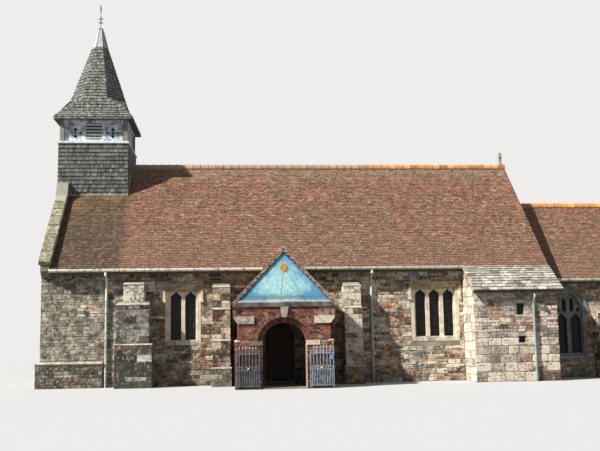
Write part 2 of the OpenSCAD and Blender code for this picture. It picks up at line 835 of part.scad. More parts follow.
belfry_in = 20;
board_in = 110;
board_t = 45;
cross_r = 215;
module belfry_ring() {
    for (y = [turret_y0 + board_in, turret_y0 + turret_d - board_in - board_t])
        translate([turret_cx, 0, belfry_z]) along_y(y, y + board_t) belfry_face(turret_w - 2 * belfry_in);
    for (x = [turret_x0 + board_in, turret_x1 - board_in - board_t])
        translate([0, ridge_y, belfry_z]) along_x(x, x + board_t) belfry_face(turret_d - 2 * belfry_in);
}

module belfry_stage() {
    color("#9aa09c") {
        intersection() {
            belfry_ring();
            square_ring(0, 400, belfry_z, spire_z);
        }
        for (x = [turret_x0 + belfry_in, turret_x1 - belfry_in - belfry_post],
             y = [turret_y0 + belfry_in, turret_y0 + turret_d - belfry_in - belfry_post])
            box([x, y, belfry_z], [x + belfry_post, y + belfry_post, spire_z]);
        square_ring(-belfry_in, turret_t, spire_z - 110, spire_z);
    }
}

louvre_count = 5;
module louvre_bank(w) {
    h = belfry_h - 90 - 130;
    pitch = h / louvre_count;
    for (i = [0:louvre_count - 1])
        translate([0, 0, 90 + pitch * (i + 0.5)]) rotate([-35, 0, 0])
            cube([w - 2 * fit, 95, 16], center = true);
}

module belfry_louvres() {
    y_mid = turret_y0 + board_in + board_t / 2;
    x_mid = turret_x0 + board_in + board_t / 2;
    color("#c9ccc6") {
        translate([turret_cx, y_mid, belfry_z]) louvre_bank(louvre_w);
        north_side() translate([turret_cx, y_mid, belfry_z]) louvre_bank(louvre_w);
        translate([x_mid, ridge_y, belfry_z]) rotate([0, 0, -90]) louvre_bank(louvre_w);
        translate([2 * turret_cx - x_mid, ridge_y, belfry_z]) rotate([0, 0, 90]) louvre_bank(louvre_w);
    }
}

// Spire: a square skirt that flares out at the eaves and turns into eight sides
// Outline of the spire at one level; cut is the size of the corner that is cut off
module spire_outline(half_x, half_y, cut) {
    polygon([[-half_x + cut, -half_y], [half_x - cut, -half_y], [half_x, -half_y + cut],
             [half_x, half_y - cut], [half_x - cut, half_y], [-half_x + cut, half_y],
             [-half_x, half_y - cut], [-half_x, -half_y + cut]]);
}

module spire_level(z, half_x, half_y, cut) {
    translate([turret_cx, ridge_y, z]) linear_extrude(0.1) spire_outline(half_x, half_y, cut);
}

spire_x = turret_w / 2 + spire_out;
spire_y = turret_d / 2 + spire_out;
// half width as a share of the eaves, corner cut as a share of the half width, height as a share of the skirt
skirt_mid = 0.84;
skirt_top = 0.715;
cut_top = 0.58;
tip_half = 320;

module spire_section(lower, upper) {
    hull() {
        spire_level(lower[0], lower[1], lower[2], lower[3]);
        spire_level(upper[0], upper[1], upper[2], upper[3]);
    }
}

function spire_levels() = [
    [spire_z, spire_x, spire_y, 12],
    [spire_z + 60, spire_x, spire_y, 12],
    [spire_z + 400, spire_x * skirt_mid, spire_y * skirt_mid, 60],
    [spire_z + skirt_h, spire_x * skirt_top, spire_y * skirt_top, spire_x * skirt_top * cut_top],
    [spire_z + skirt_h + 700, spire_x * 0.575, spire_y * 0.565, spire_x * 0.57 * cut_top],
    [lead_z, tip_half, tip_half, tip_half * cut_top]];

module spire() {
    s = spire_levels();
    color("#8b8678") for (i = [0:len(s) - 2]) spire_section(s[i], s[i + 1]);
}

module spire_lead_cap() {
    color("#c2c8cc") {
        hull() {
            spire_level(lead_z + 0.1, tip_half + 12, tip_half + 12, (tip_half + 12) * cut_top);
            spire_level(rod_z, 110, 110, 110 * cut_top);
        }
    }
}

// Iron rod with a disc, two tiers of scrolls and the collar that the weathercock turns on
rod_r = 14;
pin_r = 8;
module spire_finial() {
    collar_z = rod_z + finial_h * 0.56;
    tier = [rod_z + 300, rod_z + 470];
    color("#3c3f42") translate([turret_cx, ridge_y, 0]) {
        translate([0, 0, rod_z + 0.1]) cylinder(h = 45, r = 110);
        translate([0, 0, rod_z + 0.1]) cylinder(h = collar_z - rod_z, r = rod_r);
        translate([0, 0, collar_z]) cylinder(h = 12, r = 24);
        translate([0, 0, collar_z]) cylinder(h = finial_h * 0.38, r = pin_r);
        for (z = tier, a = [0:90:270]) rotate([0, 0, a]) {
            translate([60, 0, z + 40]) rotate([90, 0, 0]) rotate_extrude($fn = 32)
                translate([38, 0]) circle(8, $fn = 16);
            bar([0, 0, z], [60, 0, z + 6], 8);
        }
    }
}

// Flat cockerel on a sleeve that turns on the pin; it faces along the building's depth
module cockerel() {
    translate([-70, 150]) circle(95);
    translate([70, 190]) circle(75);
    polygon([[-150, 160], [-60, 70], [90, 90], [140, 190], [110, 300], [60, 330], [20, 260], [-60, 240]]);
    translate([105, 325]) circle(48);
    polygon([[140, 345], [195, 325], [140, 305]]);
    for (i = [0:2]) translate([75 + i * 32, 375]) circle(20, $fn = 16);
    translate([118, 272]) circle(22, $fn = 16);
    for (i = [0:3]) translate([-120 - i * 30, 210 + i * 38]) rotate(35 + i * 14) scale([1, 0.4]) circle(110);
    polygon([[-20, 80], [20, 80], [12, 0], [-12, 0]]);
}

module weathercock() {
    z0 = rod_z + finial_h * 0.56 + 12 + fit;
    color("#d8d2b8") translate([turret_cx, ridge_y, z0]) {
        difference() {
            union() {
                cylinder(h = finial_h * 0.38 + 30, r = 16);
                translate([0, 0, 60]) along_x(-5, 5) cockerel();
            }
            translate([0, 0, -1]) cylinder(h = finial_h * 0.38 + 6, r = pin_r + pin_clear);
        }
    }
}

// Porch
arch_half = arch_w / 2;
impost_z = porch_low_h - impost_h;

module porch_pier() {
    weather = 50;
    difference() {
        union() {
            box([arch_half, 0, 0], [porch_half, porch_front_t, porch_low_h - weather]);
            translate([0, 0, porch_low_h - weather]) hull() {
                box([arch_half, 0, 0], [porch_half, porch_front_t, 0.1]);
                box([arch_half, brick_y, weather - 0.1], [porch_mid, porch_front_t, weather]);
            }
        }
        box([arch_half - 1, -1, impost_z], [arch_half + impost_l, porch_front_t + 1, porch_low_h + 1]);
    }
}

module porch_piers() {
    color("#a4553a") for (side = [0, 1]) mirror([side, 0, 0]) porch_pier();
}

module corner_stone_outline() {
    polygon([[corbel_in, corbel_z0], [porch_mid, corbel_z0], [porch_band - 20, corbel_z1 - 80],
             [porch_band - 20, corbel_z1], [corbel_in, corbel_z1]]);
}

function keystone_z0() = arch_z + arch_half + arch_ring - 10;
keystone_z1 = cornice_z - cornice_h;

module keystone_outline() {
    polygon([[-80, keystone_z0()], [80, keystone_z0()], [145, keystone_z1], [-145, keystone_z1]]);
}

module porch_arch_wall() {
    color("#a4553a") difference() {
        along_y(brick_y, porch_front_t) difference() {
            polygon([[-porch_mid, porch_low_h], [porch_mid, porch_low_h], [porch_mid, corbel_z1],
                     [porch_band, corbel_z1], [porch_band, porch_top(porch_band) - porch_roof_t],
                     [0, porch_top(0) - porch_roof_t],
                     [-porch_band, porch_top(porch_band) - porch_roof_t], [-porch_band, corbel_z1],
                     [-porch_mid, corbel_z1]]);
            corner_stone_outline();
            mirror([1, 0]) corner_stone_outline();
        }
        along_y(brick_y - 1, brick_y + arch_ring_d) round_arch(arch_half + arch_ring, 0, arch_z);
        along_y(brick_y, porch_front_t + 1) round_arch(arch_half, 0, arch_z);
        along_y(brick_y - 1, brick_y + arch_ring_d) keystone_outline();
    }
}

// Imposts, corner stones and keystone
module porch_dressings() {
    color("#c9c0aa") {
        for (side = [0, 1]) mirror([side, 0, 0]) {
            box([arch_half, -30, impost_z], [arch_half + impost_l, porch_front_t, porch_low_h]);
            along_y(0, porch_front_t) corner_stone_outline();
        }
        along_y(-60, brick_y + arch_ring_d) keystone_outline();
    }
}

// Moulded cornice across the porch front, cut to the slope where the roof comes down on it
module porch_cornice() {
    color("#b7b1a3") difference() {
        translate([-porch_roof_half - 10, 0, 0]) along_x(0, 2 * porch_roof_half + 20) polygon([
            [brick_y, cornice_z], [brick_y - cornice_out, cornice_z],
            [brick_y - cornice_out, cornice_z - 50], [brick_y - cornice_out * 0.75, cornice_z - 70],
            [brick_y - cornice_out * 0.65, cornice_z - 120], [brick_y - cornice_out * 0.3, cornice_z - 150],
            [brick_y - cornice_out * 0.25, cornice_z - cornice_h], [brick_y, cornice_z - cornice_h]]);
        along_y(-far, far) polygon([[0, porch_top(0) - porch_roof_t], [far, porch_top(far) - porch_roof_t],
                                    [far, far], [-far, far], [-far, porch_top(far) - porch_roof_t]]);
    }
}

panel_half = porch_roof_half - 240;
panel_y = brick_y - panel_t;
module porch_gable_panel() {
    color("#4f9fd6") along_y(panel_y, brick_y)
        polygon([[-panel_half, cornice_z + 1], [panel_half, cornice_z + 1],
                 [0, cornice_z + 1 + panel_half * porch_slope]]);
}

module sundial_gnomon() {
    tip = [0, panel_y - gnomon_out, dial_z - gnomon_drop];
    color("#b8922e") {
        translate([0, panel_y, dial_z]) rotate([90, 0, 0]) cylinder(h = 12, r = dial_r);
        bar([0, panel_y - 10, dial_z], tip, 7);
        bar([0, panel_y, dial_z - gnomon_drop], tip, 5);
    }
}

module porch_side_wall() {
    inner = porch_half - porch_side_t;
    along_y(porch_front_t, nave_y0) polygon([
        [inner, 0], [porch_half, 0], [porch_half, porch_low_h - 50], [porch_mid, porch_low_h],
        [porch_mid, corbel_z1 - 180], [porch_band, corbel_z1],
        [porch_band, porch_top(porch_band) - porch_roof_t], [inner, porch_top(inner) - porch_roof_t]]);
}

module porch_side_walls() {
    color("#a4553a") for (side = [0, 1]) mirror([side, 0, 0]) porch_side_wall();
}

// Where the nave's wall and roof stand, cut out of the porch roof
module nave_mass() {
    along_x(-far / 10, far / 10) polygon([
        [eaves_y, nave_eaves_z], [ridge_y, nave_ridge_z], [ridge_y, 0], [nave_y0, 0],
        [nave_y0, nave_eaves_z - fascia_h], [eaves_y, nave_eaves_z - fascia_h]]);
}

module porch_slope_body() {
    difference() {
        along_y(brick_y - porch_verge_out, ridge_y) polygon([
            [0, porch_ridge_z], [porch_roof_half, porch_eaves_z],
            [porch_roof_half, porch_eaves_z - porch_roof_t], [0, porch_ridge_z - porch_roof_t]]);
        nave_mass();
    }
}

module porch_roof_east() {
    color("#7f5643") porch_slope_body();
}

module porch_roof_west() {
    color("#7f5643") mirror([1, 0, 0]) porch_slope_body();
}

module porch_ridge() {
    difference() {
        along_y(brick_y - porch_verge_out, ridge_y) difference() {
            translate([0, porch_ridge_z - 45]) circle(100);
            polygon([[0, porch_ridge_z], [far, porch_top(far)], [-far, porch_top(far)]]);
        }
        nave_mass();
    }
}

module porch_floor() {
    inner = porch_half - porch_side_t;
    color("#a39a8a") {
        box([-arch_half, -20, 0], [arch_half, porch_front_t, floor_h / 3]);
        box([-inner, porch_front_t, 0], [inner, nave_y0, floor_h / 3]);
    }
}

// Gates
leaf_l = gate_axis_x - gate_gap / 2;
stile = 22;
ball_r = 14;
rail_z = [110, 650, 1190, 1270];
eye_z = [230, 1080];
eye_r = pintle_r + pin_clear + 8;
eye_h = 50;
bracket_half = 9;

module spear(x, z, r) {
    translate([x, 0, z]) cylinder(h = 30, r1 = r, r2 = r * 2.1, $fn = 20);
    translate([x, 0, z + 30]) cylinder(h = 60, r1 = r * 2.1, r2 = 1.5, $fn = 20);
}

// One leaf, folded open: the hinge axis is at the origin and the leaf runs along +X
module gate_leaf() {
    heel = eye_r + 2;
    bar_z1 = gate_h - 90;
    pitch = (leaf_l - heel - stile) / (gate_bars + 1);
    color("#5b6f86") difference() {
        union() {
            box([heel, -stile / 2, gate_clear], [heel + stile, stile / 2, rail_z[3] + 40]);
            box([leaf_l - stile, -stile / 2, gate_clear], [leaf_l, stile / 2, rail_z[3] + 40]);
            for (x = [heel + stile / 2, leaf_l - stile / 2])
                translate([x, 0, rail_z[3] + 50]) sphere(ball_r, $fn = 24);
            for (z = rail_z)
                box([heel, -9, z - 7], [leaf_l, 9, z + 7]);
            for (i = [1:gate_bars]) {
                x = heel + stile / 2 + i * pitch;
                translate([x, 0, rail_z[0]]) cylinder(h = bar_z1 - rail_z[0], r = gate_bar_r, $fn = 20);
                spear(x, bar_z1, gate_bar_r);
            }
            for (i = [1:gate_bars + 1]) {
                x = heel + stile / 2 + (i - 0.5) * pitch;
                translate([x, 0, rail_z[0]])
                    cylinder(h = rail_z[1] + 60 - rail_z[0], r = gate_bar_r - 1, $fn = 20);
                spear(x, rail_z[1] + 60, gate_bar_r - 1);
                translate([x, 0, (rail_z[2] + rail_z[3]) / 2]) rotate([90, 0, 0])
                    rotate_extrude($fn = 32) translate([34, 0]) circle(5, $fn = 16);
            }
            for (z = eye_z) {
                translate([0, 0, z]) cylinder(h = eye_h, r = eye_r);
                box([eye_r - 6, -6, z], [heel + 2, 6, z + eye_h]);
            }
        }
        for (z = eye_z) translate([0, 0, z - 1]) cylinder(h = eye_h + 2, r = pintle_r + pin_clear);
    }
}

// Lock box on the meeting stile of the east leaf, under the upper rails
lock_z = 980;
module lock_box() {
    color("#8d98a3") box([leaf_l - 150, -20, lock_z], [leaf_l - stile, 20, lock_z + 150]);
}

module gate_east() {
    translate([gate_axis_x, -gate_axis_y, 0]) {
        gate_leaf();
        lock_box();
    }
}

module gate_west() {
    translate([-gate_axis_x, -gate_axis_y, 0]) mirror([1, 0, 0]) gate_leaf();
}

module gate_pintles() {
    color("#4a4f55") for (side = [-1, 1], z = eye_z)
        translate([side * gate_axis_x, 0, z - fit]) {
            box([-bracket_half, -gate_axis_y - bracket_half, -22], [bracket_half, 0, 0]);
            translate([0, -gate_axis_y, -1]) cylinder(h = eye_h + 13, r = pintle_r);
        }
}

// Inner door: boarded leaf with two strap hinges, hung on pintles in the recess
strap_z = [480, 1680];
strap_t = 10;
module nave_door() {
    leaf_half = door_r + door_lap;
    z0 = floor_h + 12;
    color("#5a4230") difference() {
        union() {
            along_y(door_leaf_y, door_leaf_y + door_t)
                round_arch(leaf_half, z0, door_spring_z);
            for (z = strap_z) {
                box([door_axis_x, door_leaf_y + door_t, z], [door_r, door_leaf_y + door_t + strap_t, z + 60]);
                translate([door_axis_x, door_axis_y, z]) cylinder(h = 60, r = 20);
            }
        }
        for (z = strap_z) translate([door_axis_x, door_axis_y, z - 1])
            cylinder(h = 62, r = pintle_r + pin_clear);
    }
}

module door_pintles() {
    color("#3c3f42") for (z = strap_z) translate([0, 0, z - fit]) {
        box([-door_recess, door_axis_y - 12, -24], [door_axis_x + 12, door_axis_y + 12, 0]);
        translate([door_axis_x, door_axis_y, -1]) cylinder(h = 75, r = pintle_r);
    }
}

// Window frames and glass
module nave_side_frames() {
    translate([window_two_x, nave_y0, 0]) square_window(2);
    translate([window_three_x, nave_y0, 0]) square_window(3);
}

module nave_window_frames() {
    color("#d2c28e") {
        nave_side_frames();
        north_side() nave_side_frames();
        translate([nave_x0, west_window_y, 0]) rotate([0, 0, -90]) square_window(2);
    }
}

module chancel_side_frames() {
    for (x = chancel_windows) translate([x, chancel_y0, 0])
        pointed_window(2, chancel_sill_z, chancel_spring_z);
}

module chancel_window_frames() {
    color("#cfc7b4") {
        chancel_side_frames();
        north_side() chancel_side_frames();
        translate([chancel_x1, ridge_y, 0]) rotate([0, 0, 90]) pointed_window(3, east_sill_z, east_spring_z);
    }
}

module side_glass() {
    y = frame_d + tracery_d;
    translate([window_two_x, nave_y0, 0]) along_y(y, y + glass_t) square_opening(2);
    translate([window_three_x, nave_y0, 0]) along_y(y, y + glass_t) square_opening(3);
    for (x = chancel_windows) translate([x, chancel_y0, 0])
        along_y(y, y + glass_t) pointed_opening(2, chancel_sill_z, chancel_spring_z);
}

module window_glass() {
    y = frame_d + tracery_d;
    color("#31404a") {
        side_glass();
        north_side() side_glass();
        translate([nave_x0, west_window_y, 0]) rotate([0, 0, -90]) along_y(y, y + glass_t) square_opening(2);
        translate([chancel_x1, ridge_y, 0]) rotate([0, 0, 90]) along_y(y, y + glass_t)
            pointed_opening(3, east_sill_z, east_spring_z);
        for (w = small_windows)
            box([w[0] - w[2] / 2, bay_y0 + 120, w[1]],
                [w[0] + w[2] / 2, bay_y0 + 120 + glass_t, w[1] + w[3]]);
    }
}

// Gutters and downpipes
module gutter_section(r, top) {
    intersection() {
        circle(r);
        translate([-r, -r]) square([2 * r, r]);
    }
    translate([-r, 0]) square([2 * r, top]);
}

gutter_top = 10;
module gutter_profile(eave_y, eave_z) {
    wall = 8;
    translate([eave_y - gutter_r, eave_z + gutter_top - gutter_lip]) difference() {
        gutter_section(gutter_r, gutter_lip);
        gutter_section(gutter_r - wall, gutter_lip + 1);
    }
}

function gutter_bottom(eave_z) = eave_z + gutter_top - gutter_lip - gutter_r;

gutter_stop = 640;
module gutters() {
    color("#d5d8d4") {
        along_x(roof_x0 + 5, -gutter_stop) gutter_profile(eaves_y, nave_eaves_z);
        along_x(gutter_stop, bay_x - 65) gutter_profile(eaves_y, nave_eaves_z);
        north_side() along_x(roof_x0 + 5, nave_x1) gutter_profile(eaves_y, nave_eaves_z);
        along_x(roof_x1 + 5, chancel_x1 + 60) gutter_profile(chancel_eaves_y, chancel_eaves_z);
        north_side() along_x(roof_x1 + 5, chancel_x1 + 60) gutter_profile(chancel_eaves_y, chancel_eaves_z);
    }
}

// A downpipe at x against a wall face, with a swan neck from the gutter and clips to the wall
module downpipe(x, wall_y, gutter_y, outlet) {
    y = wall_y - pipe_gap - pipe_r;
    neck_z = outlet - 330;
    socket = pipe_r + 7;
    stub = 110;
    translate([x, 0, 0]) {
        translate([0, gutter_y - gutter_r, outlet - stub]) cylinder(h = stub, r = pipe_r);
        bar([0, gutter_y - gutter_r, outlet - stub], [0, y, neck_z], pipe_r);
        translate([0, gutter_y - gutter_r, outlet - stub]) sphere(socket, $fn = 24);
        translate([0, y, neck_z]) sphere(socket, $fn = 24);
        translate([0, y, 0]) cylinder(h = neck_z, r = pipe_r);
        for (z = [400, neck_z / 2 + 60, neck_z - 160]) {
            translate([0, y, z]) cylinder(h = 60, r = pipe_r + 9);
            box([-30, y, z + 10], [30, wall_y, z + 50]);
        }
    }
}

east_pipe_x = 3520;
bay_pipe_in = 920;
pipe_from_plinth = 110;
module downpipes() {
    color("#b9c2bd") {
        downpipe(nave_x0 + plinth_l + pipe_from_plinth, nave_y0, eaves_y, gutter_bottom(nave_eaves_z));
        downpipe(east_pipe_x, nave_y0, eaves_y, gutter_bottom(nave_eaves_z));
        downpipe(bay_x1 - bay_pipe_in, bay_y0, bay_eaves_y + 40, bay_eaves_z - bay_roof_t - 30);
        north_side() {
            downpipe(nave_x0 + plinth_l + pipe_from_plinth, nave_y0, eaves_y, gutter_bottom(nave_eaves_z));
            downpipe(east_pipe_x, nave_y0, eaves_y, gutter_bottom(nave_eaves_z));
        }
    }
}

nave_south_wall_west();
nave_south_wall_east();
nave_doorway();
nave_north_wall();
nave_west_wall();
nave_east_wall();
west_coping();
west_plinth();
buttresses_south();
buttresses_north();
nave_roof_south();
nave_roof_north();
ridge_tiles();
ridge_cross();
nave_floor();
chancel_south_wall();
chancel_north_wall();
chancel_east_wall();
chancel_buttresses();
chancel_roof_south();
chancel_roof_north();
chancel_floor();
stair_bay_walls();
stair_bay_roof();
turret_walls();
turret_sill_band();
belfry_stage();
belfry_louvres();
spire();
spire_lead_cap();
spire_finial();
weathercock();
porch_piers();
porch_arch_wall();
porch_dressings();
porch_cornice();
porch_gable_panel();
sundial_gnomon();
porch_side_walls();
porch_roof_west();
porch_roof_east();
porch_floor();
gate_west();
gate_east();
gate_pintles();
nave_door();
door_pintles();
nave_window_frames();
chancel_window_frames();
window_glass();
gutters();
downpipes();
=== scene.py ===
import math

import bmesh
import bpy
import numpy as np
from mathutils import Matrix, Vector


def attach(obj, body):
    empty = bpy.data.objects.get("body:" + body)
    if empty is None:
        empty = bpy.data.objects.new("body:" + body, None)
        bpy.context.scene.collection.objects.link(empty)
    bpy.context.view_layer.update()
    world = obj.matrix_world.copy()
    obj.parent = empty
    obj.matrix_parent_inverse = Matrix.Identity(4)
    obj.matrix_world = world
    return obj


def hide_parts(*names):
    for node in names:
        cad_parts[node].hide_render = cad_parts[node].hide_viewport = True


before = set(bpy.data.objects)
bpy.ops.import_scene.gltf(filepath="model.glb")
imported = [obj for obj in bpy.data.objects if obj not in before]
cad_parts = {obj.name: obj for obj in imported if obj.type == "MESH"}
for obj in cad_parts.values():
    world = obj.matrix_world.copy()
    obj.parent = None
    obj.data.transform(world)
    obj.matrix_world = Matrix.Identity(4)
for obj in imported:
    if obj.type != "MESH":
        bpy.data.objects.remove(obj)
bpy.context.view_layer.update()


# Rubble walls
# Nave, chancel and stair bay are rubble laid in rough courses: grey limestone, cream stone, ochre and
# rusty ironstone and a few bricks. Each stone is bedded in the lime mortar of the imported wall.
class Wire:
    """A socket that takes arithmetic. Each step adds one Math node."""

    def __init__(self, nodes, socket):
        self.nodes, self.socket = nodes, socket

    def __add__(self, other):
        return self.nodes.maths("ADD", self, other)

    def __radd__(self, other):
        return self.nodes.maths("ADD", other, self)

    def __sub__(self, other):
        return self.nodes.maths("SUBTRACT", self, other)

    def __rsub__(self, other):
        return self.nodes.maths("SUBTRACT", other, self)

    def __mul__(self, other):
        return self.nodes.maths("MULTIPLY", self, other)

    def __rmul__(self, other):
        return self.nodes.maths("MULTIPLY", other, self)

    def __truediv__(self, other):
        return self.nodes.maths("DIVIDE", self, other)

    def __rtruediv__(self, other):
        return self.nodes.maths("DIVIDE", other, self)

    def __mod__(self, other):
        return self.nodes.maths("FLOORED_MODULO", self, other)

    def __abs__(self):
        return self.nodes.maths("ABSOLUTE", self)


class Nodes:
    """A node tree that is filled by calls to node()."""

    def __init__(self, tree):
        self.tree = tree

    def join(self, value, socket):
        if isinstance(value, Wire):
            self.tree.links.new(value.socket, socket)
        elif isinstance(value, tuple) and len(value) == 3 and len(socket.default_value) == 4:
            socket.default_value = (*value, 1)
        else:
            socket.default_value = value

    def node(self, kind, settings=None, sockets=None, output=0):
        made = self.tree.nodes.new(kind)
        for key, value in (settings or {}).items():
            if key == "stops":
                marks = made.color_ramp.elements
                marks.remove(marks[1])
                for i, (place, colour) in enumerate(value):
                    mark = marks[0] if i == 0 else marks.new(place)
                    mark.position, mark.color = place, (*colour, 1)
            elif key == "stepped":
                made.color_ramp.interpolation = "CONSTANT" if value else "LINEAR"
            else:
                setattr(made, key, value)
        for key, value in (sockets or {}).items():
            self.join(value, made.inputs[key])
        return Wire(self, made.outputs[output])

    def maths(self, operation, *values):
        return self.node("ShaderNodeMath", {"operation": operation}, dict(enumerate(values)))


class Finish(Nodes):
    """A procedural material on one Principled shader."""

    def __init__(self, name):
        self.material = bpy.data.materials.new(name)
        self.material.use_nodes = True
        super().__init__(self.material.node_tree)
        self.shader = self.tree.nodes["Principled BSDF"]

    def spot(self):
        return self.node("ShaderNodeTexCoord", output="Object")

    def axis(self, letter):
        return self.node("ShaderNodeSeparateXYZ", {}, {0: self.spot()}, letter)

    def noise(self, scale, detail, stretch=(1, 1, 1), move=(0, 0, 0)):
        spot = self.node("ShaderNodeMapping", {}, {
            "Vector": self.spot(), "Scale": stretch, "Location": move})
        return self.node("ShaderNodeTexNoise", {}, {"Vector": spot, "Scale": scale, "Detail": detail})

    def rise(self, factor, low, high):
        return self.node("ShaderNodeMapRange", {"interpolation_type": "SMOOTHSTEP"},
                         {"Value": factor, "From Min": low, "From Max": high})

    def ramp(self, factor, stops, stepped=False):
        return self.node("ShaderNodeValToRGB", {"stops": stops, "stepped": stepped}, {0: factor})

    def blend(self, factor, first, second, mode="MIX"):
        return self.node("ShaderNodeMix", {"data_type": "RGBA", "blend_type": mode},
                         {0: factor, 6: first, 7: second}, 2)

    def shade(self, colour, factor, dark, light):
        return self.blend(1.0, colour, self.ramp(factor, [(0, (dark,) * 3), (1, (light,) * 3)]), "MULTIPLY")

    def mark(self, name):
        return self.node("ShaderNodeAttribute", {"attribute_name": name}, output="Fac")

    def close(self, colour, roughness, height=None, relief=0.004, **others):
        self.join(colour, self.shader.inputs["Base Color"])
        self.join(roughness, self.shader.inputs["Roughness"])
        for name, value in others.items():
            self.join(value, self.shader.inputs[name.replace("_", " ")])
        if height is not None:
            bump = self.node("ShaderNodeBump", {}, {"Height": height, "Distance": relief})
            self.join(bump, self.shader.inputs["Normal"])
        return self.material


def dress(material, *nodes):
    for node in nodes:
        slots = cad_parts[node].data.materials
        slots.clear()
        slots.append(material)


# The tree that lays one piece on each edge of a layout mesh, turned and sized by that edge's values
LAY_INPUTS = {"Geometry": "Geometry", "Piece": "Object", "Joint": "Float", "Wobble": "Float",
              "Rough": "Float", "Grain": "Float", "Seed": "Int", "Finish": "Material"}
laying = bpy.data.node_groups.new("lay_pieces", "GeometryNodeTree")
lay_keys = {}
for name, kind in LAY_INPUTS.items():
    socket = laying.interface.new_socket(name, in_out="INPUT", socket_type="NodeSocket" + kind)
    lay_keys[name] = socket.identifier
laying.interface.new_socket("Geometry", in_out="OUTPUT", socket_type="NodeSocketGeometry")
work = Nodes(laying)
given = {name: work.node("NodeGroupInput", output=name) for name in LAY_INPUTS}


def edge_value(name):
    return work.node("GeometryNodeInputNamedAttribute", {"data_type": "FLOAT_VECTOR"}, {"Name": name})


def vector_maths(operation, first, second):
    return work.node("ShaderNodeVectorMath", {"operation": operation}, {0: first, 1: second})


def scaled(vector, scale):
    return work.node("ShaderNodeVectorMath", {"operation": "SCALE"}, {0: vector, "Scale": scale})


spots = work.node("GeometryNodeMeshToPoints", {"mode": "EDGES"}, {"Mesh": given["Geometry"]})
facing = work.node("FunctionNodeAxesToRotation", {"primary_axis": "Z", "secondary_axis": "X"},
                   {0: edge_value("out"), 1: edge_value("along")})
shake = work.node("FunctionNodeRandomValue", {"data_type": "FLOAT_VECTOR"},
                  {0: (-1, -1, -1), 1: (1, 1, 1), "Seed": given["Seed"]})
shake = work.node("FunctionNodeEulerToRotation", {}, {0: scaled(shake, given["Wobble"])})
facing = work.node("FunctionNodeRotateRotation", {"rotation_space": "LOCAL"}, {0: facing, 1: shake})
gap = work.node("ShaderNodeCombineXYZ", {}, {"X": given["Joint"], "Y": given["Joint"]})
size = vector_maths("SUBTRACT", edge_value("size"), gap)
pattern_piece = work.node("GeometryNodeObjectInfo", {}, {"Object": given["Piece"]}, "Geometry")
copies = work.node("GeometryNodeInstanceOnPoints", {}, {
    "Points": spots, "Instance": pattern_piece, "Rotation": facing, "Scale": size})
solid = work.node("GeometryNodeRealizeInstances", {}, {0: copies})
swell = work.node("ShaderNodeTexNoise", {}, {
    "Vector": work.node("GeometryNodeInputPosition"), "Scale": given["Grain"], "Detail": 1.0}, "Color")
push = scaled(vector_maths("SUBTRACT", swell, (0.5, 0.5, 0.5)), given["Rough"])
proud = vector_maths("PROJECT", push, edge_value("out"))
push = vector_maths("SUBTRACT", push, scaled(proud, 0.75))
solid = work.node("GeometryNodeSetPosition", {}, {"Geometry": solid, "Offset": push})
above_ground = vector_maths("MAXIMUM", work.node("GeometryNodeInputPosition"), (-100, -100, 0))
solid = work.node("GeometryNodeSetPosition", {}, {"Geometry": solid, "Position": above_ground})
solid = work.node("GeometryNodeSetMaterial", {}, {"Geometry": solid, "Material": given["Finish"]})
laying.links.new(solid.socket, laying.nodes.new("NodeGroupOutput").inputs[0])


def shape(name, points, faces):
    """A small convex piece in a unit box, open at the back that lies in its bed, faces outwards."""
    spots = [Vector(p) for p in points]
    middle = sum(spots, Vector()) / len(spots)
    turned = []
    for face in faces:
        normal = (spots[face[1]] - spots[face[0]]).cross(spots[face[2]] - spots[face[0]])
        out = sum((spots[i] for i in face), Vector()) / len(face) - middle
        turned.append(face if normal.dot(out) > 0 else face[::-1])
    data = bpy.data.meshes.new(name)
    data.from_pydata(points, [], turned)
    return bpy.data.objects.new(name, data)


def ring_faces(first, second, count):
    """The faces between two rings of points, given where each ring starts."""
    steps = [(i, (i + 1) % count) for i in range(count)]
    return [(first + i, first + j, second + j, second + i) for i, j in steps]


def plane(origin, along, up):
    """A face to lay on: its origin, the way courses run, the way they rise, and the way it faces."""
    origin, along, up = (np.array(v, float) for v in (origin, along, up))
    return origin, along, up, np.cross(along, up)


def south(y):
    return plane((0, y, 0), (1, 0, 0), (0, 0, 1))


def north(y):
    return plane((0, y, 0), (-1, 0, 0), (0, 0, 1))


def west(x):
    return plane((x, 0, 0), (0, -1, 0), (0, 0, 1))


def east(x):
    return plane((x, 0, 0), (0, 1, 0), (0, 0, 1))


def rect_hole(left, right, bottom, top):
    return lambda low, high: (left, right) if low < top - 0.02 and high > bottom + 0.02 else None


def pointed_hole(middle, half, sill, spring, point):
    radius = (point ** 2 + half ** 2) / (2 * half)

    def at(low, high):
        level = (low + high) / 2
        if level < sill or level > spring + point:
            return None
        reach = half if level < spring else math.sqrt(radius ** 2 - (level - spring) ** 2) - radius + half
        return middle - reach, middle + reach
    return at


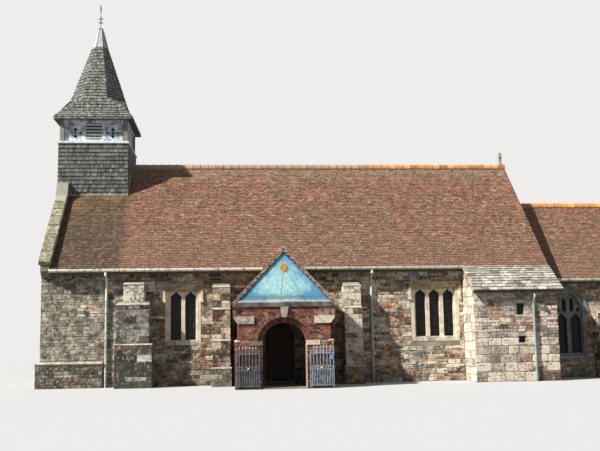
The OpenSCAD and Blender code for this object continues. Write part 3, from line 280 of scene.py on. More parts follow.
class Courses:
    """Pieces set out in courses: for each its two ends, facing, height, depth, kind and tone."""

    def __init__(self, seed):
        self.random = np.random.default_rng(seed)
        self.rows = []

    def add(self, face, left, right, low, high, depth, kind=None):
        origin, along, up, out = face
        base = origin + up * low
        self.rows.append((*(base + along * left), *(base + along * right), *out, high - low, depth,
                          self.random.random() if kind is None else kind, self.random.random()))

    def between(self, left, right, holes):
        for start, end in sorted(holes):
            if min(start, right) > left + 0.03:
                yield left, min(start, right)
            left = max(left, end)
        if right > left + 0.03:
            yield left, right

    def lengths(self, left, right, length, shift):
        marks = [left]
        if shift is None:
            while right - marks[-1] > length[1] * 1.2:
                marks.append(marks[-1] + self.random.uniform(*length))
        else:
            place = left + (shift - left) % length[0]
            place += length[0] if place - left < length[0] * 0.2 else 0
            while place < right - length[0] * 0.2:
                marks.append(place)
                place += length[0]
        return zip(marks, marks[1:] + [right])

    def fill(self, face, low, high, span, rise, length, depth, holes=(), bond=False, lean=1.0,
             split=0.0, chosen=None):
        """Courses from low to high; lean above 1 favours the first kinds, and chosen fixes some of them."""
        level, course = low, 0
        while level < high - 0.02:
            top = level + self.random.uniform(*rise)
            top = high if high - top < rise[0] * 0.5 else top
            left, right = span(level, top) if callable(span) else span
            cuts = [cut for cut in (hole(level, top) for hole in holes) if cut]
            shift = length[0] / 2 * (course % 2) if bond else None
            for start, end in self.between(left, right, cuts):
                for a, b in self.lengths(start, end, length, shift):
                    thick = self.random.uniform(*depth)
                    bias = lean((a + b) / 2, level) if callable(lean) else lean
                    kind = self.random.random() ** bias
                    picked = chosen((a + b) / 2, level) if chosen else None
                    kind = kind if picked is None else picked
                    if self.random.random() < split and top - level > rise[0] * 1.25:
                        middle = level + (top - level) * self.random.uniform(0.4, 0.6)
                        self.add(face, a, b, level, middle, thick, kind)
                        self.add(face, a, b, middle, top, self.random.uniform(*depth))
                    else:
                        self.add(face, a, b, level, top, thick, kind)
            level, course = top, course + 1

    def line(self, points, up, height, depth):
        """One piece on each stretch of a line of points, facing square to the line and to up."""
        for a, b in zip(points, points[1:]):
            a, b = np.array(a, float), np.array(b, float)
            out = np.cross(b - a, up)
            self.rows.append((*a, *b, *(out / np.linalg.norm(out)), height, depth,
                              self.random.random(), self.random.random()))


def lay(name, courses, piece, material, slot, body="root", joint=0.012, wobble=0.0, rough=0.0, grain=7.0,
        seed=1):
    """Lays the courses with the tree, and gives the plain mesh its body. The slot is not used."""
    rows = np.array(courses.rows, np.float32)
    ends = rows[:, :6].reshape(-1, 3)
    runs = ends[1::2] - ends[0::2]
    data = bpy.data.meshes.new(name + "_layout")
    data.vertices.add(len(ends))
    data.vertices.foreach_set("co", ends.ravel())
    data.edges.add(len(rows))
    data.edges.foreach_set("vertices", np.arange(len(ends), dtype=np.int32))
    sizes = np.column_stack([np.linalg.norm(runs, axis=1), rows[:, 9], rows[:, 10]])
    for key, values in (("along", runs), ("out", rows[:, 6:9]), ("size", sizes)):
        data.attributes.new(key, "FLOAT_VECTOR", "EDGE").data.foreach_set(
            "vector", np.ascontiguousarray(values, np.float32).ravel())
    for key, column in (("kind", 11), ("tone", 12)):
        data.attributes.new(key, "FLOAT", "EDGE").data.foreach_set(
            "value", np.ascontiguousarray(rows[:, column]))
    layout = bpy.data.objects.new(name + "_layout", data)
    bpy.context.scene.collection.objects.link(layout)
    modifier = layout.modifiers.new("lay", "NODES")
    modifier.node_group = laying
    for key, value in {"Piece": piece, "Joint": joint, "Wobble": wobble, "Rough": rough, "Grain": grain,
                       "Seed": seed, "Finish": material}.items():
        modifier[lay_keys[key]] = value
    graph = bpy.context.evaluated_depsgraph_get()
    made = bpy.data.meshes.new_from_object(
        layout.evaluated_get(graph), preserve_all_data_layers=True, depsgraph=graph)
    bpy.data.objects.remove(layout)
    laid = bpy.data.objects.new(name, made)
    bpy.context.scene.collection.objects.link(laid)
    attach(laid, body)


# Nave and chancel: outside faces, half widths, tops of the stonework, ridges and eaves, and how much
# each roof rises for a metre in plan. A slope has the height of its eaves at the plan place of its eaves.
NAVE_W, NAVE_E, NAVE_S, NAVE_N = -8.86, 10.30, 2.90, 11.64
NAVE_HALF, NAVE_TOP = 4.37, 4.19
RIDGE_Y, NAVE_RIDGE, NAVE_EAVES, EAVES_Y = 7.27, 9.16, 4.35, 2.60
NAVE_SLOPE = (NAVE_RIDGE - NAVE_EAVES) / (RIDGE_Y - EAVES_Y)
CHANCEL_E, CHANCEL_S, CHANCEL_N = 18.30, 3.50, 11.04
CHANCEL_HALF, CHANCEL_TOP = 3.77, 3.69
CHANCEL_RIDGE, CHANCEL_EAVES, CHANCEL_EAVES_Y = 7.38, 3.85, 3.20
CHANCEL_SLOPE = (CHANCEL_RIDGE - CHANCEL_EAVES) / (RIDGE_Y - CHANCEL_EAVES_Y)
# What interrupts the walls: the west plinth, the bay, the porch with its roof, the church door and the turret
PLINTH_E, PLINTH_TOP = -6.57, 0.95
BAY_W, BAY_E, BAY_S, BAY_BLOCKS_TOP, BAY_EAVES = 7.10, 10.25, 1.45, 1.82, 3.38
PORCH_HALF, PORCH_TOP, PORCH_RIDGE, PORCH_RISE = 1.62, 2.95, 4.85, 1.061
DOOR_HALF, DOOR_SPRING = 0.55, 1.75
TURRET_W, TURRET_E, TURRET_S, TURRET_N, TURRET_X = -8.93, -6.11, 5.82, 8.72, -7.52
# Windows: middles along the wall, a square one's foot and head and the widths of its stones, and a pointed
# one's half width, foot, spring and the height of its head
TWO_LIGHT, THREE_LIGHT = -3.63, 5.99
FRAME_FOOT, FRAME_HEAD, LIGHT, MULLION, FRAME_SIDE = 1.51, 3.72, 0.40, 0.145, 0.19
CHANCEL_BAYS = [11.53, 14.03, 16.53]
SIDE_WINDOW, EAST_WINDOW = (0.7025, 0.75, 2.5, 1.039), (0.99, 1.3, 3.05, 1.4845)
# How far the stones on two faces lap past the corner between them
CORNER = 0.014

rubble_block = shape("rubble_block", [
    (-0.5, 0.10, -0.2), (-0.49, 0.90, -0.2), (-0.33, 1, -0.2), (0.38, 0.99, -0.2), (0.5, 0.88, -0.2),
    (0.49, 0.12, -0.2), (0.36, 0, -0.2), (-0.38, 0.01, -0.2),
    (-0.46, 0.16, 1), (-0.45, 0.84, 1), (-0.29, 0.93, 1), (0.34, 0.92, 1), (0.46, 0.80, 1),
    (0.45, 0.19, 1), (0.32, 0.08, 1), (-0.34, 0.08, 1)],
    ring_faces(0, 8, 8) + [tuple(range(8, 16))])

lime = Finish("lime_mortar")
grit = lime.noise(60, 4)
colour = lime.ramp(lime.noise(2.2, 4), [(0.3, (0.22, 0.185, 0.14)), (0.7, (0.46, 0.41, 0.32))])
lime_mortar = lime.close(lime.shade(colour, grit, 0.7, 1.15), 0.95, grit, 0.006)
dress(lime_mortar, "nave_south_wall_west", "nave_south_wall_east", "nave_doorway", "nave_north_wall",
      "nave_west_wall", "nave_east_wall", "chancel_south_wall", "chancel_north_wall", "chancel_east_wall",
      "stair_bay_walls")


def stone_finish(name, kinds, washed=0.0, damp=0.35, furred=0.62, mottle=(0.44, 1.50)):
    """Natural stones of several kinds, mottled and pitted, the pits painted near black as the shade in them,
    with lichen, and damp near the ground. A share of the surface is washed to one pale grey, most of all on
    the west end. The stones are darkened between the west buttresses as painted shade, and are brightest to
    the east of the porch."""
    stone = Finish(name)
    grain = stone.noise(24, 5)
    patch = stone.noise(3.4, 6) * 0.55 + stone.noise(13, 6, move=(2, 2, 8)) * 0.45
    colour = stone.ramp(stone.mark("kind"), kinds, stepped=True)
    colour = stone.shade(colour, stone.mark("tone"), 0.40, 1.42)
    colour = stone.shade(colour, stone.rise(patch, 0.39, 0.61), *mottle)
    if washed:
        west_end = 1 - stone.rise(stone.axis("X"), -6.9, -5.3)
        wash = stone.rise(stone.noise(0.9, 6, move=(2, 7, 4)) + west_end * 0.16, 0.50, 0.66) * washed
        grey = stone.ramp(stone.noise(3.4, 8), [(0.36, (0.085, 0.080, 0.068)), (0.5, (0.245, 0.235, 0.198)),
                                                (0.62, (0.50, 0.48, 0.41))])
        colour = stone.blend(wash, colour, stone.shade(grey, stone.mark("tone"), 0.62, 1.25))
    lichen = stone.rise(stone.noise(8, 8, move=(4, 1, 7)), 0.545, 0.63) * furred
    colour = stone.blend(lichen, colour, (0.60, 0.55, 0.46))
    # Near-black specks: painted shade in the stones' hollows.
    pits = stone.rise(stone.noise(9, 7, move=(9, 3, 2)), 0.56, 0.64) * 0.75
    colour = stone.blend(pits, colour, (0.040, 0.032, 0.025))
    # Painted shade between the west buttresses, where they cast it on the wall; lighter east of the porch.
    east = stone.rise(stone.axis("X"), -1.5, 3.2)
    buttress_shade = stone.rise(stone.axis("X"), -4.9, -4.6) * (1 - east)
    colour = stone.shade(colour, (1 + east - buttress_shade) * 0.5, 0.80, 1.30)
    low = 1 - stone.rise(stone.axis("Z") + stone.noise(1.3, 3) * 0.8, 0.35, 1.4)
    colour = stone.blend(low * damp, colour, (0.085, 0.085, 0.06))
    colour = stone.blend(1.0, colour, (0.80, 0.72, 0.61), "DARKEN")
    return stone.close(colour, stone.rise(patch, 0.2, 0.8) * 0.15 + 0.8, grain + patch * 2, 0.008)


RUBBLE_KINDS = [(0, (0.085, 0.072, 0.060)), (0.07, (0.24, 0.22, 0.185)), (0.22, (0.45, 0.405, 0.33)),
                (0.43, (0.70, 0.575, 0.44)), (0.61, (0.42, 0.265, 0.155)), (0.79, (0.18, 0.090, 0.056)),
                (0.92, (0.34, 0.160, 0.105))]
rubble_stone = stone_finish("rubble_stone", RUBBLE_KINDS, washed=0.8)
RUBBLE = {"rise": (0.10, 0.23), "length": (0.15, 0.54), "depth": (0.004, 0.016), "split": 0.3}


def rubble_face(name, seed, *fills, finish=rubble_stone):
    courses = Courses(seed)
    for face, low, high, span, holes, lean, *coarse in fills:
        courses.fill(face, low, high, span, holes=holes, lean=lean, **(coarse[0] if coarse else RUBBLE))
    lay(name, courses, rubble_block, finish, "rubble_stone", joint=0.012, wobble=0.02, rough=0.055,
        grain=4.5, seed=seed)


def square_window(middle, lights):
    half = (lights * LIGHT + (lights - 1) * MULLION) / 2 + FRAME_SIDE
    return rect_hole(middle - half, middle + half, FRAME_FOOT, FRAME_HEAD)


def gable_span(peak, slope, half_width):
    """A gable wall's course: as wide as the wall, or under the roof as wide as the slope leaves it."""
    def at(low, high):
        half = min(half_width, max(0.0, (peak - high) / slope))
        return RIDGE_Y - half, RIDGE_Y + half
    return at


def porch_hole(low, high):
    half = PORCH_HALF if low < PORCH_TOP else (PORCH_RIDGE - low) / PORCH_RISE
    return (-half, half) if half > 0 else None


def bay_side(low, high):
    return BAY_S + max(0.0, (high - BAY_EAVES - 0.005) / 0.717) - CORNER, NAVE_S


def mirrored(span):
    return lambda low, high: tuple(-u for u in reversed(span(low, high)))


def chancel_hole(low, high):
    """The chancel against the nave's east gable: its walls, its boxed eaves, and its roof above them."""
    if high < CHANCEL_TOP:
        half = CHANCEL_HALF
    elif high < CHANCEL_EAVES + 0.05:
        half = RIDGE_Y - CHANCEL_EAVES_Y
    else:
        half = (CHANCEL_RIDGE - (low + high) / 2) / CHANCEL_SLOPE
    return (RIDGE_Y - half, RIDGE_Y + half) if half > 0 else None


def doorway_hole(low, high):
    if high <= DOOR_SPRING:
        return -DOOR_HALF, DOOR_HALF
    reach = DOOR_HALF ** 2 - ((low + high) / 2 - DOOR_SPRING) ** 2
    return (-math.sqrt(reach), math.sqrt(reach)) if reach > 0 else None


def by_place(x, z):
    """How grey the stone is along the nave: palest in the west, rusty by the porch and the east window."""
    grey = float(np.interp(abs(x), [2.2, 3.2, 4.6, 6.4, 9.0], [0.45, 0.6, 0.75, 1.15, 1.7]))
    return grey * (1 + 0.3 * math.sin(2.3 * x + 1.1) * math.sin(3.1 * z + x))


def bay_stone(x, z):
    """How grey the bay's stone is: a rusty course over the blocks and at the foot, mixed elsewhere."""
    rusty = BAY_BLOCKS_TOP < z < 2.1 or z < 0.3 and x > 8
    return 0.42 if rusty else 1.15 + 0.4 * math.sin(2.9 * x + 2.0 * z)


def corner_block(x, z):
    """The pale kind for the stones on the bay's west corner."""
    return 0.52 if x < BAY_W + 0.35 else None


pinkish_stone = stone_finish("pinkish_stone", [
    (0, (0.28, 0.235, 0.205)), (0.12, (0.56, 0.475, 0.40)), (0.44, (0.80, 0.67, 0.55)),
    (0.62, (0.52, 0.435, 0.375)), (0.80, (0.38, 0.22, 0.155)), (0.92, (0.17, 0.10, 0.075))],
    furred=0.5, damp=0.2, mottle=(0.58, 1.40))
BAY_BLOCKS = {"rise": (0.26, 0.38), "length": (0.34, 0.72), "depth": (0.004, 0.016), "split": 0.12,
              "chosen": corner_block}
BAY_RUBBLE = {**RUBBLE, "chosen": corner_block}
MIDDLE_BUTTRESS = -2.19
PORCH_INSIDE, PORCH_FLOOR, PORCH_CEILING = 1.35, 0.04, 3.2
rubble_face("rubble_nave_south", 11,
            (south(NAVE_S), 0, NAVE_TOP, (NAVE_W - CORNER, MIDDLE_BUTTRESS),
             [rect_hole(-9, PLINTH_E, 0, PLINTH_TOP), square_window(TWO_LIGHT, 2)], by_place),
            (south(NAVE_S), 0, NAVE_TOP, (MIDDLE_BUTTRESS, BAY_W),
             [porch_hole, square_window(THREE_LIGHT, 3)], by_place),
            (south(NAVE_S), PORCH_FLOOR, PORCH_CEILING, (-PORCH_INSIDE, PORCH_INSIDE), [doorway_hole], 1.0))
rubble_face("rubble_nave_north", 12,
            (north(NAVE_N), 0, NAVE_TOP, (-NAVE_E - CORNER, -NAVE_W + CORNER),
             [rect_hole(-PLINTH_E, 9, 0, PLINTH_TOP), square_window(-TWO_LIGHT, 2),
              square_window(-THREE_LIGHT, 3)], by_place))
rubble_face("rubble_nave_west", 13,
            (west(NAVE_W), PLINTH_TOP, 9.2, mirrored(gable_span(9.37, NAVE_SLOPE, NAVE_HALF + CORNER)),
             [square_window(-RIDGE_Y, 2), rect_hole(-TURRET_N, -TURRET_S, 7.6, 12)], 1.3))
rubble_face("rubble_nave_east", 14,
            (east(NAVE_E), 0, 8.8, gable_span(8.87, NAVE_SLOPE, NAVE_HALF + CORNER), [chancel_hole], 1.1))
rubble_face("rubble_chancel_sides", 15,
            (south(CHANCEL_S), 0, CHANCEL_TOP, (NAVE_E, CHANCEL_E + CORNER),
             [pointed_hole(x, *SIDE_WINDOW) for x in CHANCEL_BAYS], 1.0),
            (north(CHANCEL_N), 0, CHANCEL_TOP, (-CHANCEL_E - CORNER, -NAVE_E),
             [pointed_hole(-x, *SIDE_WINDOW) for x in CHANCEL_BAYS], 1.0))
rubble_face("rubble_chancel_east", 16,
            (east(CHANCEL_E), 0, 7.1, gable_span(7.15, CHANCEL_SLOPE, CHANCEL_HALF + CORNER),
             [pointed_hole(RIDGE_Y, *EAST_WINDOW)], 1.1))
bay_openings = [rect_hole(8.71, 8.99, 2.34, 3.0), rect_hole(8.745, 8.995, 1.34, 1.72)]
bay_front = (BAY_W - CORNER, BAY_E + CORNER), bay_openings, bay_stone
rubble_face("rubble_stair_bay", 17,
            (south(BAY_S), 0, BAY_BLOCKS_TOP, *bay_front, BAY_BLOCKS),
            (south(BAY_S), BAY_BLOCKS_TOP, BAY_EAVES, *bay_front, BAY_RUBBLE),
            (west(BAY_W), 0, NAVE_TOP, mirrored(bay_side), [], 1.2, BAY_BLOCKS),
            (east(BAY_E), 0, NAVE_TOP, bay_side, [], 1.0), finish=pinkish_stone)


# Buttresses and plinth
# Squared blocks of limestone and ironstone, patched with brick, in lime joints. Each stage is set back
# under a pale weathering stone, and a rounded pale stone string runs along the top of the west plinth.
square_block = shape("square_block", [
    (-0.5, 0, -0.2), (0.5, 0, -0.2), (0.5, 1, -0.2), (-0.5, 1, -0.2),
    (-0.5, 0, 0.6), (0.5, 0, 0.6), (0.5, 1, 0.6), (-0.5, 1, 0.6),
    (-0.46, 0.07, 1), (0.46, 0.07, 1), (0.46, 0.93, 1), (-0.46, 0.93, 1)],
    ring_faces(0, 4, 4) + ring_faces(4, 8, 4) + [(8, 9, 10, 11)])
BULGE = [(0, 0), (0.06, 0.6), (0.28, 0.95), (0.55, 1), (0.84, 0.7), (1, 0.1)]
SIX_SIDED_ENDS = [tuple(range(6)), tuple(range(6, 12))]
rounded_stone = shape("rounded_stone", [(x, y, z) for x in (-0.5, 0.5) for y, z in BULGE],
                      [(i, i + 1, i + 7, i + 6) for i in range(5)] + SIX_SIDED_ENDS)
# Stages from the ground up: west and east side, foot and top, and how far the stage stands out
WIDE = [(-6.04, -4.71, 0, 1.54, 0.85), (-6.01, -4.83, 1.60, 3.00, 0.70), (-5.78, -5.04, 3.13, 3.76, 0.48)]
SLIM = [(-0.36, 0.36, 0, 0.64, 0.95), (-0.32, 0.32, 0.68, 1.64, 0.85),
        (-0.32, 0.32, 1.70, 2.79, 0.74), (-0.32, 0.32, 2.90, 3.62, 0.56)]
LOW = [(-0.31, 0.31, 0, 1.25, 0.75), (-0.31, 0.31, 1.38, 2.48, 0.56)]
EAST_BUTTRESS, CHANCEL_BUTTRESSES = 2.71, (12.78, 15.28)
# The kinds of stone on each front, up to a height
GREY, CREAM, BRIGHT, PALE, RUST, RED, DARK = 0.10, 0.30, 0.46, 0.60, 0.72, 0.86, 0.96
MIDDLE_GREY, WHITE_GREY = 0.45, 0.85
WEST_FRONT = [(0.30, GREY), (0.66, RUST), (0.84, RED), (1.10, DARK), (1.30, RUST), (2.20, CREAM),
              (2.46, RED), (2.92, BRIGHT), (3.42, CREAM), (3.80, PALE)]
EAST_FRONT = [(0.66, RUST), (1.00, PALE), (1.60, CREAM), (3.80, BRIGHT)]
WIDE_FRONT = [(1.30, GREY), (1.56, DARK), (3.10, MIDDLE_GREY), (3.80, WHITE_GREY)]


def stages_at(x, stages):
    return [(x + west_side, x + east_side, *rest) for west_side, east_side, *rest in stages]


def banded(bands, share):
    """A share of the stones take the kind of their band, and the others any kind."""
    def kind(x, z):
        base = next((k for top, k in bands if z < top), CREAM)
        return base if (x * 7.3 + z * 11.7) % 1.0 < share else None
    return kind


def clad_buttress(courses, strings, wall, side, stages, lean, front_kind=None):
    for x0, x1, low, high, out in stages:
        front = wall + side * out
        near, far = sorted((front, wall))
        size = {"rise": (0.15, 0.30), "length": (0.22, 0.48), "depth": (0.004, 0.014), "lean": lean}
        if side < 0:
            courses.fill(south(front), low, high, (x0 - CORNER, x1 + CORNER), chosen=front_kind, **size)
        else:
            courses.fill(north(front), low, high, (-x1 - CORNER, -x0 + CORNER), chosen=front_kind, **size)
        courses.fill(west(x0), low, high, (-far, -near), **size)
        courses.fill(east(x1), low, high, (near, far), **size)
        lip = (x0 - 0.02, x1 + 0.02) if side < 0 else (x1 + 0.02, x0 - 0.02)
        middle = (lip[0] + lip[1]) / 2 + strings.random.uniform(-0.1, 0.1)
        strings.line([(x, front - side * 0.05, high - 0.02) for x in (lip[0], middle, lip[1])],
                     (0, 0, 1), 0.085, 0.075)


bed = Finish("weathered_bed_stone")
speck = bed.noise(30, 5)
colour = bed.ramp(bed.noise(3.2, 5), [(0.32, (0.17, 0.155, 0.125)), (0.6, (0.36, 0.33, 0.265)),
                                      (0.75, (0.50, 0.48, 0.40))])
weathered_bed = bed.close(bed.shade(colour, speck, 0.6, 1.3), 0.9, speck, 0.005)
dress(weathered_bed, "buttresses_south", "buttresses_north", "chancel_buttresses", "west_plinth")
squared_stone = stone_finish("squared_stone", [
    (0, (0.22, 0.21, 0.185)), (0.22, (0.66, 0.555, 0.43)), (0.42, (0.84, 0.72, 0.57)),
    (0.50, (0.42, 0.345, 0.265)), (0.68, (0.27, 0.165, 0.100)), (0.82, (0.24, 0.105, 0.070)),
    (0.92, (0.10, 0.060, 0.045))], furred=0.5)
blocks, strings = Courses(21), Courses(22)
for wall, side in ((NAVE_S, -1), (NAVE_N, 1)):
    for x, lean, bands in ((MIDDLE_BUTTRESS, 0.9, banded(WEST_FRONT, 0.66)),
                           (EAST_BUTTRESS, 1.1, banded(EAST_FRONT, 0.9))):
        clad_buttress(blocks, strings, wall, side, stages_at(x, SLIM), lean, bands if side < 0 else None)
for wall, side in ((CHANCEL_S, -1), (CHANCEL_N, 1)):
    for x in CHANCEL_BUTTRESSES:
        clad_buttress(blocks, strings, wall, side, stages_at(x, LOW), 1.2)
lay("buttress_blocks", blocks, square_block, squared_stone, "buttress_stone",
    joint=0.010, wobble=0.008, rough=0.024, grain=6)
grey_stone = stone_finish("grey_block", [
    (0, (0.060, 0.060, 0.054)), (0.25, (0.185, 0.18, 0.165)), (0.56, (0.34, 0.33, 0.30)),
    (0.82, (1.0, 0.95, 0.88)), (0.93, (0.115, 0.060, 0.046))], damp=0.5, furred=0.36)
grey_blocks = Courses(23)
for wall, side in ((NAVE_S, -1), (NAVE_N, 1)):
    clad_buttress(grey_blocks, strings, wall, side, WIDE, 1.0, banded(WIDE_FRONT, 0.8))
lay("buttress_grey_blocks", grey_blocks, square_block, grey_stone, "buttress_stone",
    joint=0.010, wobble=0.012, rough=0.03, grain=6)
plinth_stone = stone_finish("plinth_rubble", [
    (0, (0.12, 0.11, 0.095)), (0.22, (0.22, 0.205, 0.175)), (0.46, (0.46, 0.40, 0.32)),
    (0.66, (0.17, 0.105, 0.075)), (0.84, (0.080, 0.052, 0.042)), (0.94, (0.20, 0.090, 0.062))])
PLINTH = {"rise": (0.09, 0.17), "length": (0.13, 0.36), "depth": (0.006, 0.020), "lean": 1.0}
PLINTH_W, PLINTH_S, PLINTH_N, PLINTH_STONES = -8.99, 2.77, 11.77, 0.84
small_stones = Courses(24)
for face, span in ((west(PLINTH_W), (-PLINTH_N - CORNER, -PLINTH_S + CORNER)),
                   (south(PLINTH_S), (PLINTH_W - CORNER, PLINTH_E)),
                   (north(PLINTH_N), (-PLINTH_E, -PLINTH_W + CORNER)),
                   (east(PLINTH_E), (PLINTH_S, NAVE_S)),
                   (east(PLINTH_E), (NAVE_N, PLINTH_N))):
    small_stones.fill(face, 0, PLINTH_STONES, span, **PLINTH)
lay("plinth_stones", small_stones, rubble_block, plinth_stone, "buttress_stone",
    joint=0.012, rough=0.03, grain=6)
for start, end in (((-6.55, 11.72), (-9.02, 11.72)), ((-8.94, 11.80), (-8.94, 2.74)),
                   ((-9.02, 2.82), (-6.55, 2.82))):
    count = round(math.dist(start, end) / 0.62)
    strings.line([(start[0] + (end[0] - start[0]) * i / count, start[1] + (end[1] - start[1]) * i / count,
                   PLINTH_STONES - 0.005) for i in range(count + 1)], (0, 0, 1), 0.135, 0.10)
weathering = Finish("weathering_stone")
crumb = weathering.noise(22, 5)
colour = weathering.ramp(weathering.noise(4, 5), [
    (0.3, (0.30, 0.275, 0.225)), (0.5, (0.55, 0.51, 0.43)), (0.7, (0.70, 0.67, 0.58))])
weathering_stone = weathering.close(weathering.shade(colour, crumb, 0.6, 1.3), 0.9, crumb, 0.006)
lay("weathering_stones", strings, rounded_stone, weathering_stone, "buttress_stone",
    joint=0.010, wobble=0.012, rough=0.02, grain=8)


# Coping and ridge cross
# The west gable's parapet carries flat slabs of weathered stone, butted up the slope, browned and furred
# with lichen, with a clean slab at the top. A small stone cross stands on the other end of the ridge.
coping = Finish("coping_stone")
crust = coping.noise(20, 6)
moss = coping.rise(coping.noise(4.4, 6), 0.44, 0.58)
colour = coping.ramp(coping.mark("tone"), [(0, (0.27, 0.235, 0.165)), (1, (0.43, 0.385, 0.29))])
colour = coping.shade(colour, coping.rise(coping.noise(7, 5), 0.3, 0.7), 0.40, 1.15)
colour = coping.blend(moss * 0.75, colour, (0.135, 0.125, 0.068))
colour = coping.blend(coping.rise(crust, 0.55, 0.63) * 0.7, colour, (0.50, 0.50, 0.44))
clean = coping.rise(coping.axis("Z"), 7.32, 7.42)
colour = coping.blend(clean * 0.7, colour, (0.44, 0.435, 0.365))
coping_stone = coping.close(colour, 0.92, crust, 0.008)
dress(coping_stone, "west_coping", "ridge_cross")
COS, SIN = math.cos(math.atan(NAVE_SLOPE)), math.sin(math.atan(NAVE_SLOPE))
COPING_X, COPING_WIDE, COPING_OVER, COPING_RUN = -8.70, 0.48, 0.19, 3.21
slabs = Courses(31)
for side in (-1, 1):
    foot = (COPING_X - side * COPING_WIDE / 2, RIDGE_Y + side * (RIDGE_Y - EAVES_Y), NAVE_EAVES + COPING_OVER)
    rake = plane(foot, (0, -side * COS, SIN), (side, 0, 0))
    for start, end in slabs.lengths(0.0, COPING_RUN / COS, (0.44, 0.66), None):
        slabs.add(rake, start, end, 0, COPING_WIDE, slabs.random.uniform(0.115, 0.130))
lay("coping_slabs", slabs, square_block, coping_stone, "coping_stone",
    joint=0.012, wobble=0.006, rough=0.03, grain=5)


# Main roofs
# Plain clay tiles on battens over boxed timber eaves. They vary from dull brown to orange with odd pale
# and burnt ones, browner towards the eaves, and dark brown below the turret, partly moss and partly painted
# shade.
def one_noise_finish(name, scale, detail, dark, light, roughness, relief, stretch=(1, 1, 1)):
    """A finish whose colour and relief follow one noise. Dark and light are stops of a ramp."""
    finish = Finish(name)
    noise = finish.noise(scale, detail, stretch)
    return finish.close(finish.ramp(noise, [dark, light]), roughness, noise, relief)


dress(one_noise_finish("roof_timber", 9, 5, (0.3, (0.055, 0.040, 0.030)), (0.7, (0.15, 0.115, 0.085)),
                       0.85, 0.003, stretch=(0.3, 4, 4)),
      "nave_roof_south", "nave_roof_north", "chancel_roof_south", "chancel_roof_north", "stair_bay_roof")

plain_tile = shape("plain_tile", [
    (-0.5, 0, 0), (0, 0, 0.1), (0.5, 0, 0), (-0.5, 0, 0.75), (0, 0, 1), (0.5, 0, 0.75),
    (-0.5, 1.2, 0), (0, 1.2, 0.08), (0.5, 1.2, 0)],
    [(3, 4, 7, 6), (4, 5, 8, 7), (0, 1, 4, 3), (1, 2, 5, 4), (0, 3, 6), (2, 5, 8)])


def tile_finish(name, stops, browned, moss_amount, nave):
    """Burnt clay in many tones, browned below a height and mossy in patches. Below the turret the nave's tiles
    are dark brown, partly moss and partly painted shade, with gold lichen; near the ridge they have a pale
    crust."""
    tile = Finish(name)
    bloom = tile.noise(0.5, 5)
    fleck = tile.noise(15, 6)
    colour = tile.ramp(tile.mark("tone") * 0.84 + tile.noise(1.6, 5) * 0.16, stops)
    colour = tile.shade(colour, tile.rise(fleck, 0.34, 0.66), 0.50, 1.28)
    colour = tile.blend(1.0, colour, tile.ramp(tile.noise(0.8, 5, move=(6, 2, 2)), [
        (0.40, (0.94, 1.02, 0.98)), (0.60, (1.05, 0.97, 0.99))]), "MULTIPLY")
    low = 1 - tile.rise(tile.axis("Z") + bloom * 2.4, *browned)
    colour = tile.blend(low * 0.45, colour, (0.155, 0.095, 0.062))
    moss = tile.rise(tile.noise(4.5, 6, move=(3, 3, 3)) + bloom * 0.5, 0.72, 0.90) * moss_amount
    colour = tile.blend(moss, colour, (0.125, 0.105, 0.055))
    pale = tile.rise(tile.noise(17, 6, move=(1, 8, 2)), 0.575, 0.635) * 0.6
    colour = tile.blend(pale, colour, (0.50, 0.39, 0.30))
    if nave:
        drift = tile.noise(2.6, 6, move=(5, 5, 1))
        # Painted shade, partly moss: below the turret the tiles are darkened to a dark brown.
        under = (1 - tile.rise(tile.axis("X") + (drift - 0.5) * 0.7, -6.2, -5.7)) * (
            1 - tile.rise(tile.axis("Y"), 5.9, 6.1))
        brown = tile.ramp(tile.noise(7, 6), [(0.36, (0.042, 0.029, 0.019)), (0.5, (0.070, 0.047, 0.030)),
                                             (0.64, (0.17, 0.112, 0.068))])
        colour = tile.blend(under * 0.90, colour, brown)
        gold = under * tile.rise(tile.axis("Z") + (drift - 0.5) * 3, 6.0, 8.4) * tile.rise(drift, 0.40, 0.60)
        colour = tile.blend(gold * 0.45, colour, (0.30, 0.195, 0.060))
        crust = tile.rise(tile.axis("Z") + (drift - 0.5) * 2.4, 8.2, 9.1) * tile.rise(fleck, 0.38, 0.58)
        colour = tile.blend(crust * 0.55, colour, (0.34, 0.30, 0.21))
    return tile.close(colour, 0.88, fleck, 0.003)


clay_tile = tile_finish("clay_tile", [
    (0.04, (0.050, 0.028, 0.024)), (0.14, (0.140, 0.066, 0.045)), (0.50, (0.228, 0.099, 0.065)),
    (0.78, (0.298, 0.129, 0.083)), (0.90, (0.38, 0.208, 0.146)), (1.0, (0.54, 0.41, 0.32))],
    (5.4, 8.2), 0.45, True)
TILE = {"rise": (0.100, 0.1001), "length": (0.165, 0.165), "depth": (0.016, 0.026), "bond": True}
TILE_BED = {"joint": 0.003, "wobble": 0.018, "rough": 0.006, "grain": 3}
# Where the tiles start beside the coping and end over the east gables, and how far they overhang the eaves
ROOF_W, ROOF_E, CHANCEL_ROOF_E, TILE_OVER = -8.54, 10.44, 18.44, 0.035


def turret_hole(left, right):
    return rect_hole(left, right, (TURRET_S - EAVES_Y) / COS, 9)


def porch_valley(low, high):
    half = (PORCH_RIDGE - NAVE_EAVES - low * SIN) / PORCH_RISE
    return (-half, half) if half > 0 else None


for name, side, seed in (("tiles_nave_south", -1, 41), ("tiles_nave_north", 1, 42)):
    slope = plane((0, RIDGE_Y + side * (RIDGE_Y - EAVES_Y), NAVE_EAVES), (-side, 0, 0), (0, -side * COS, SIN))
    ends = (ROOF_W, ROOF_E) if side < 0 else (-ROOF_E, -ROOF_W)
    holes = [turret_hole(-9, TURRET_E), porch_valley] if side < 0 else [turret_hole(-TURRET_E, 9)]
    tiles = Courses(seed)
    tiles.fill(slope, -TILE_OVER, (RIDGE_Y - EAVES_Y) / COS, ends, holes=holes, **TILE)
    lay(name, tiles, plain_tile, clay_tile, "clay_tiles", seed=seed, **TILE_BED)

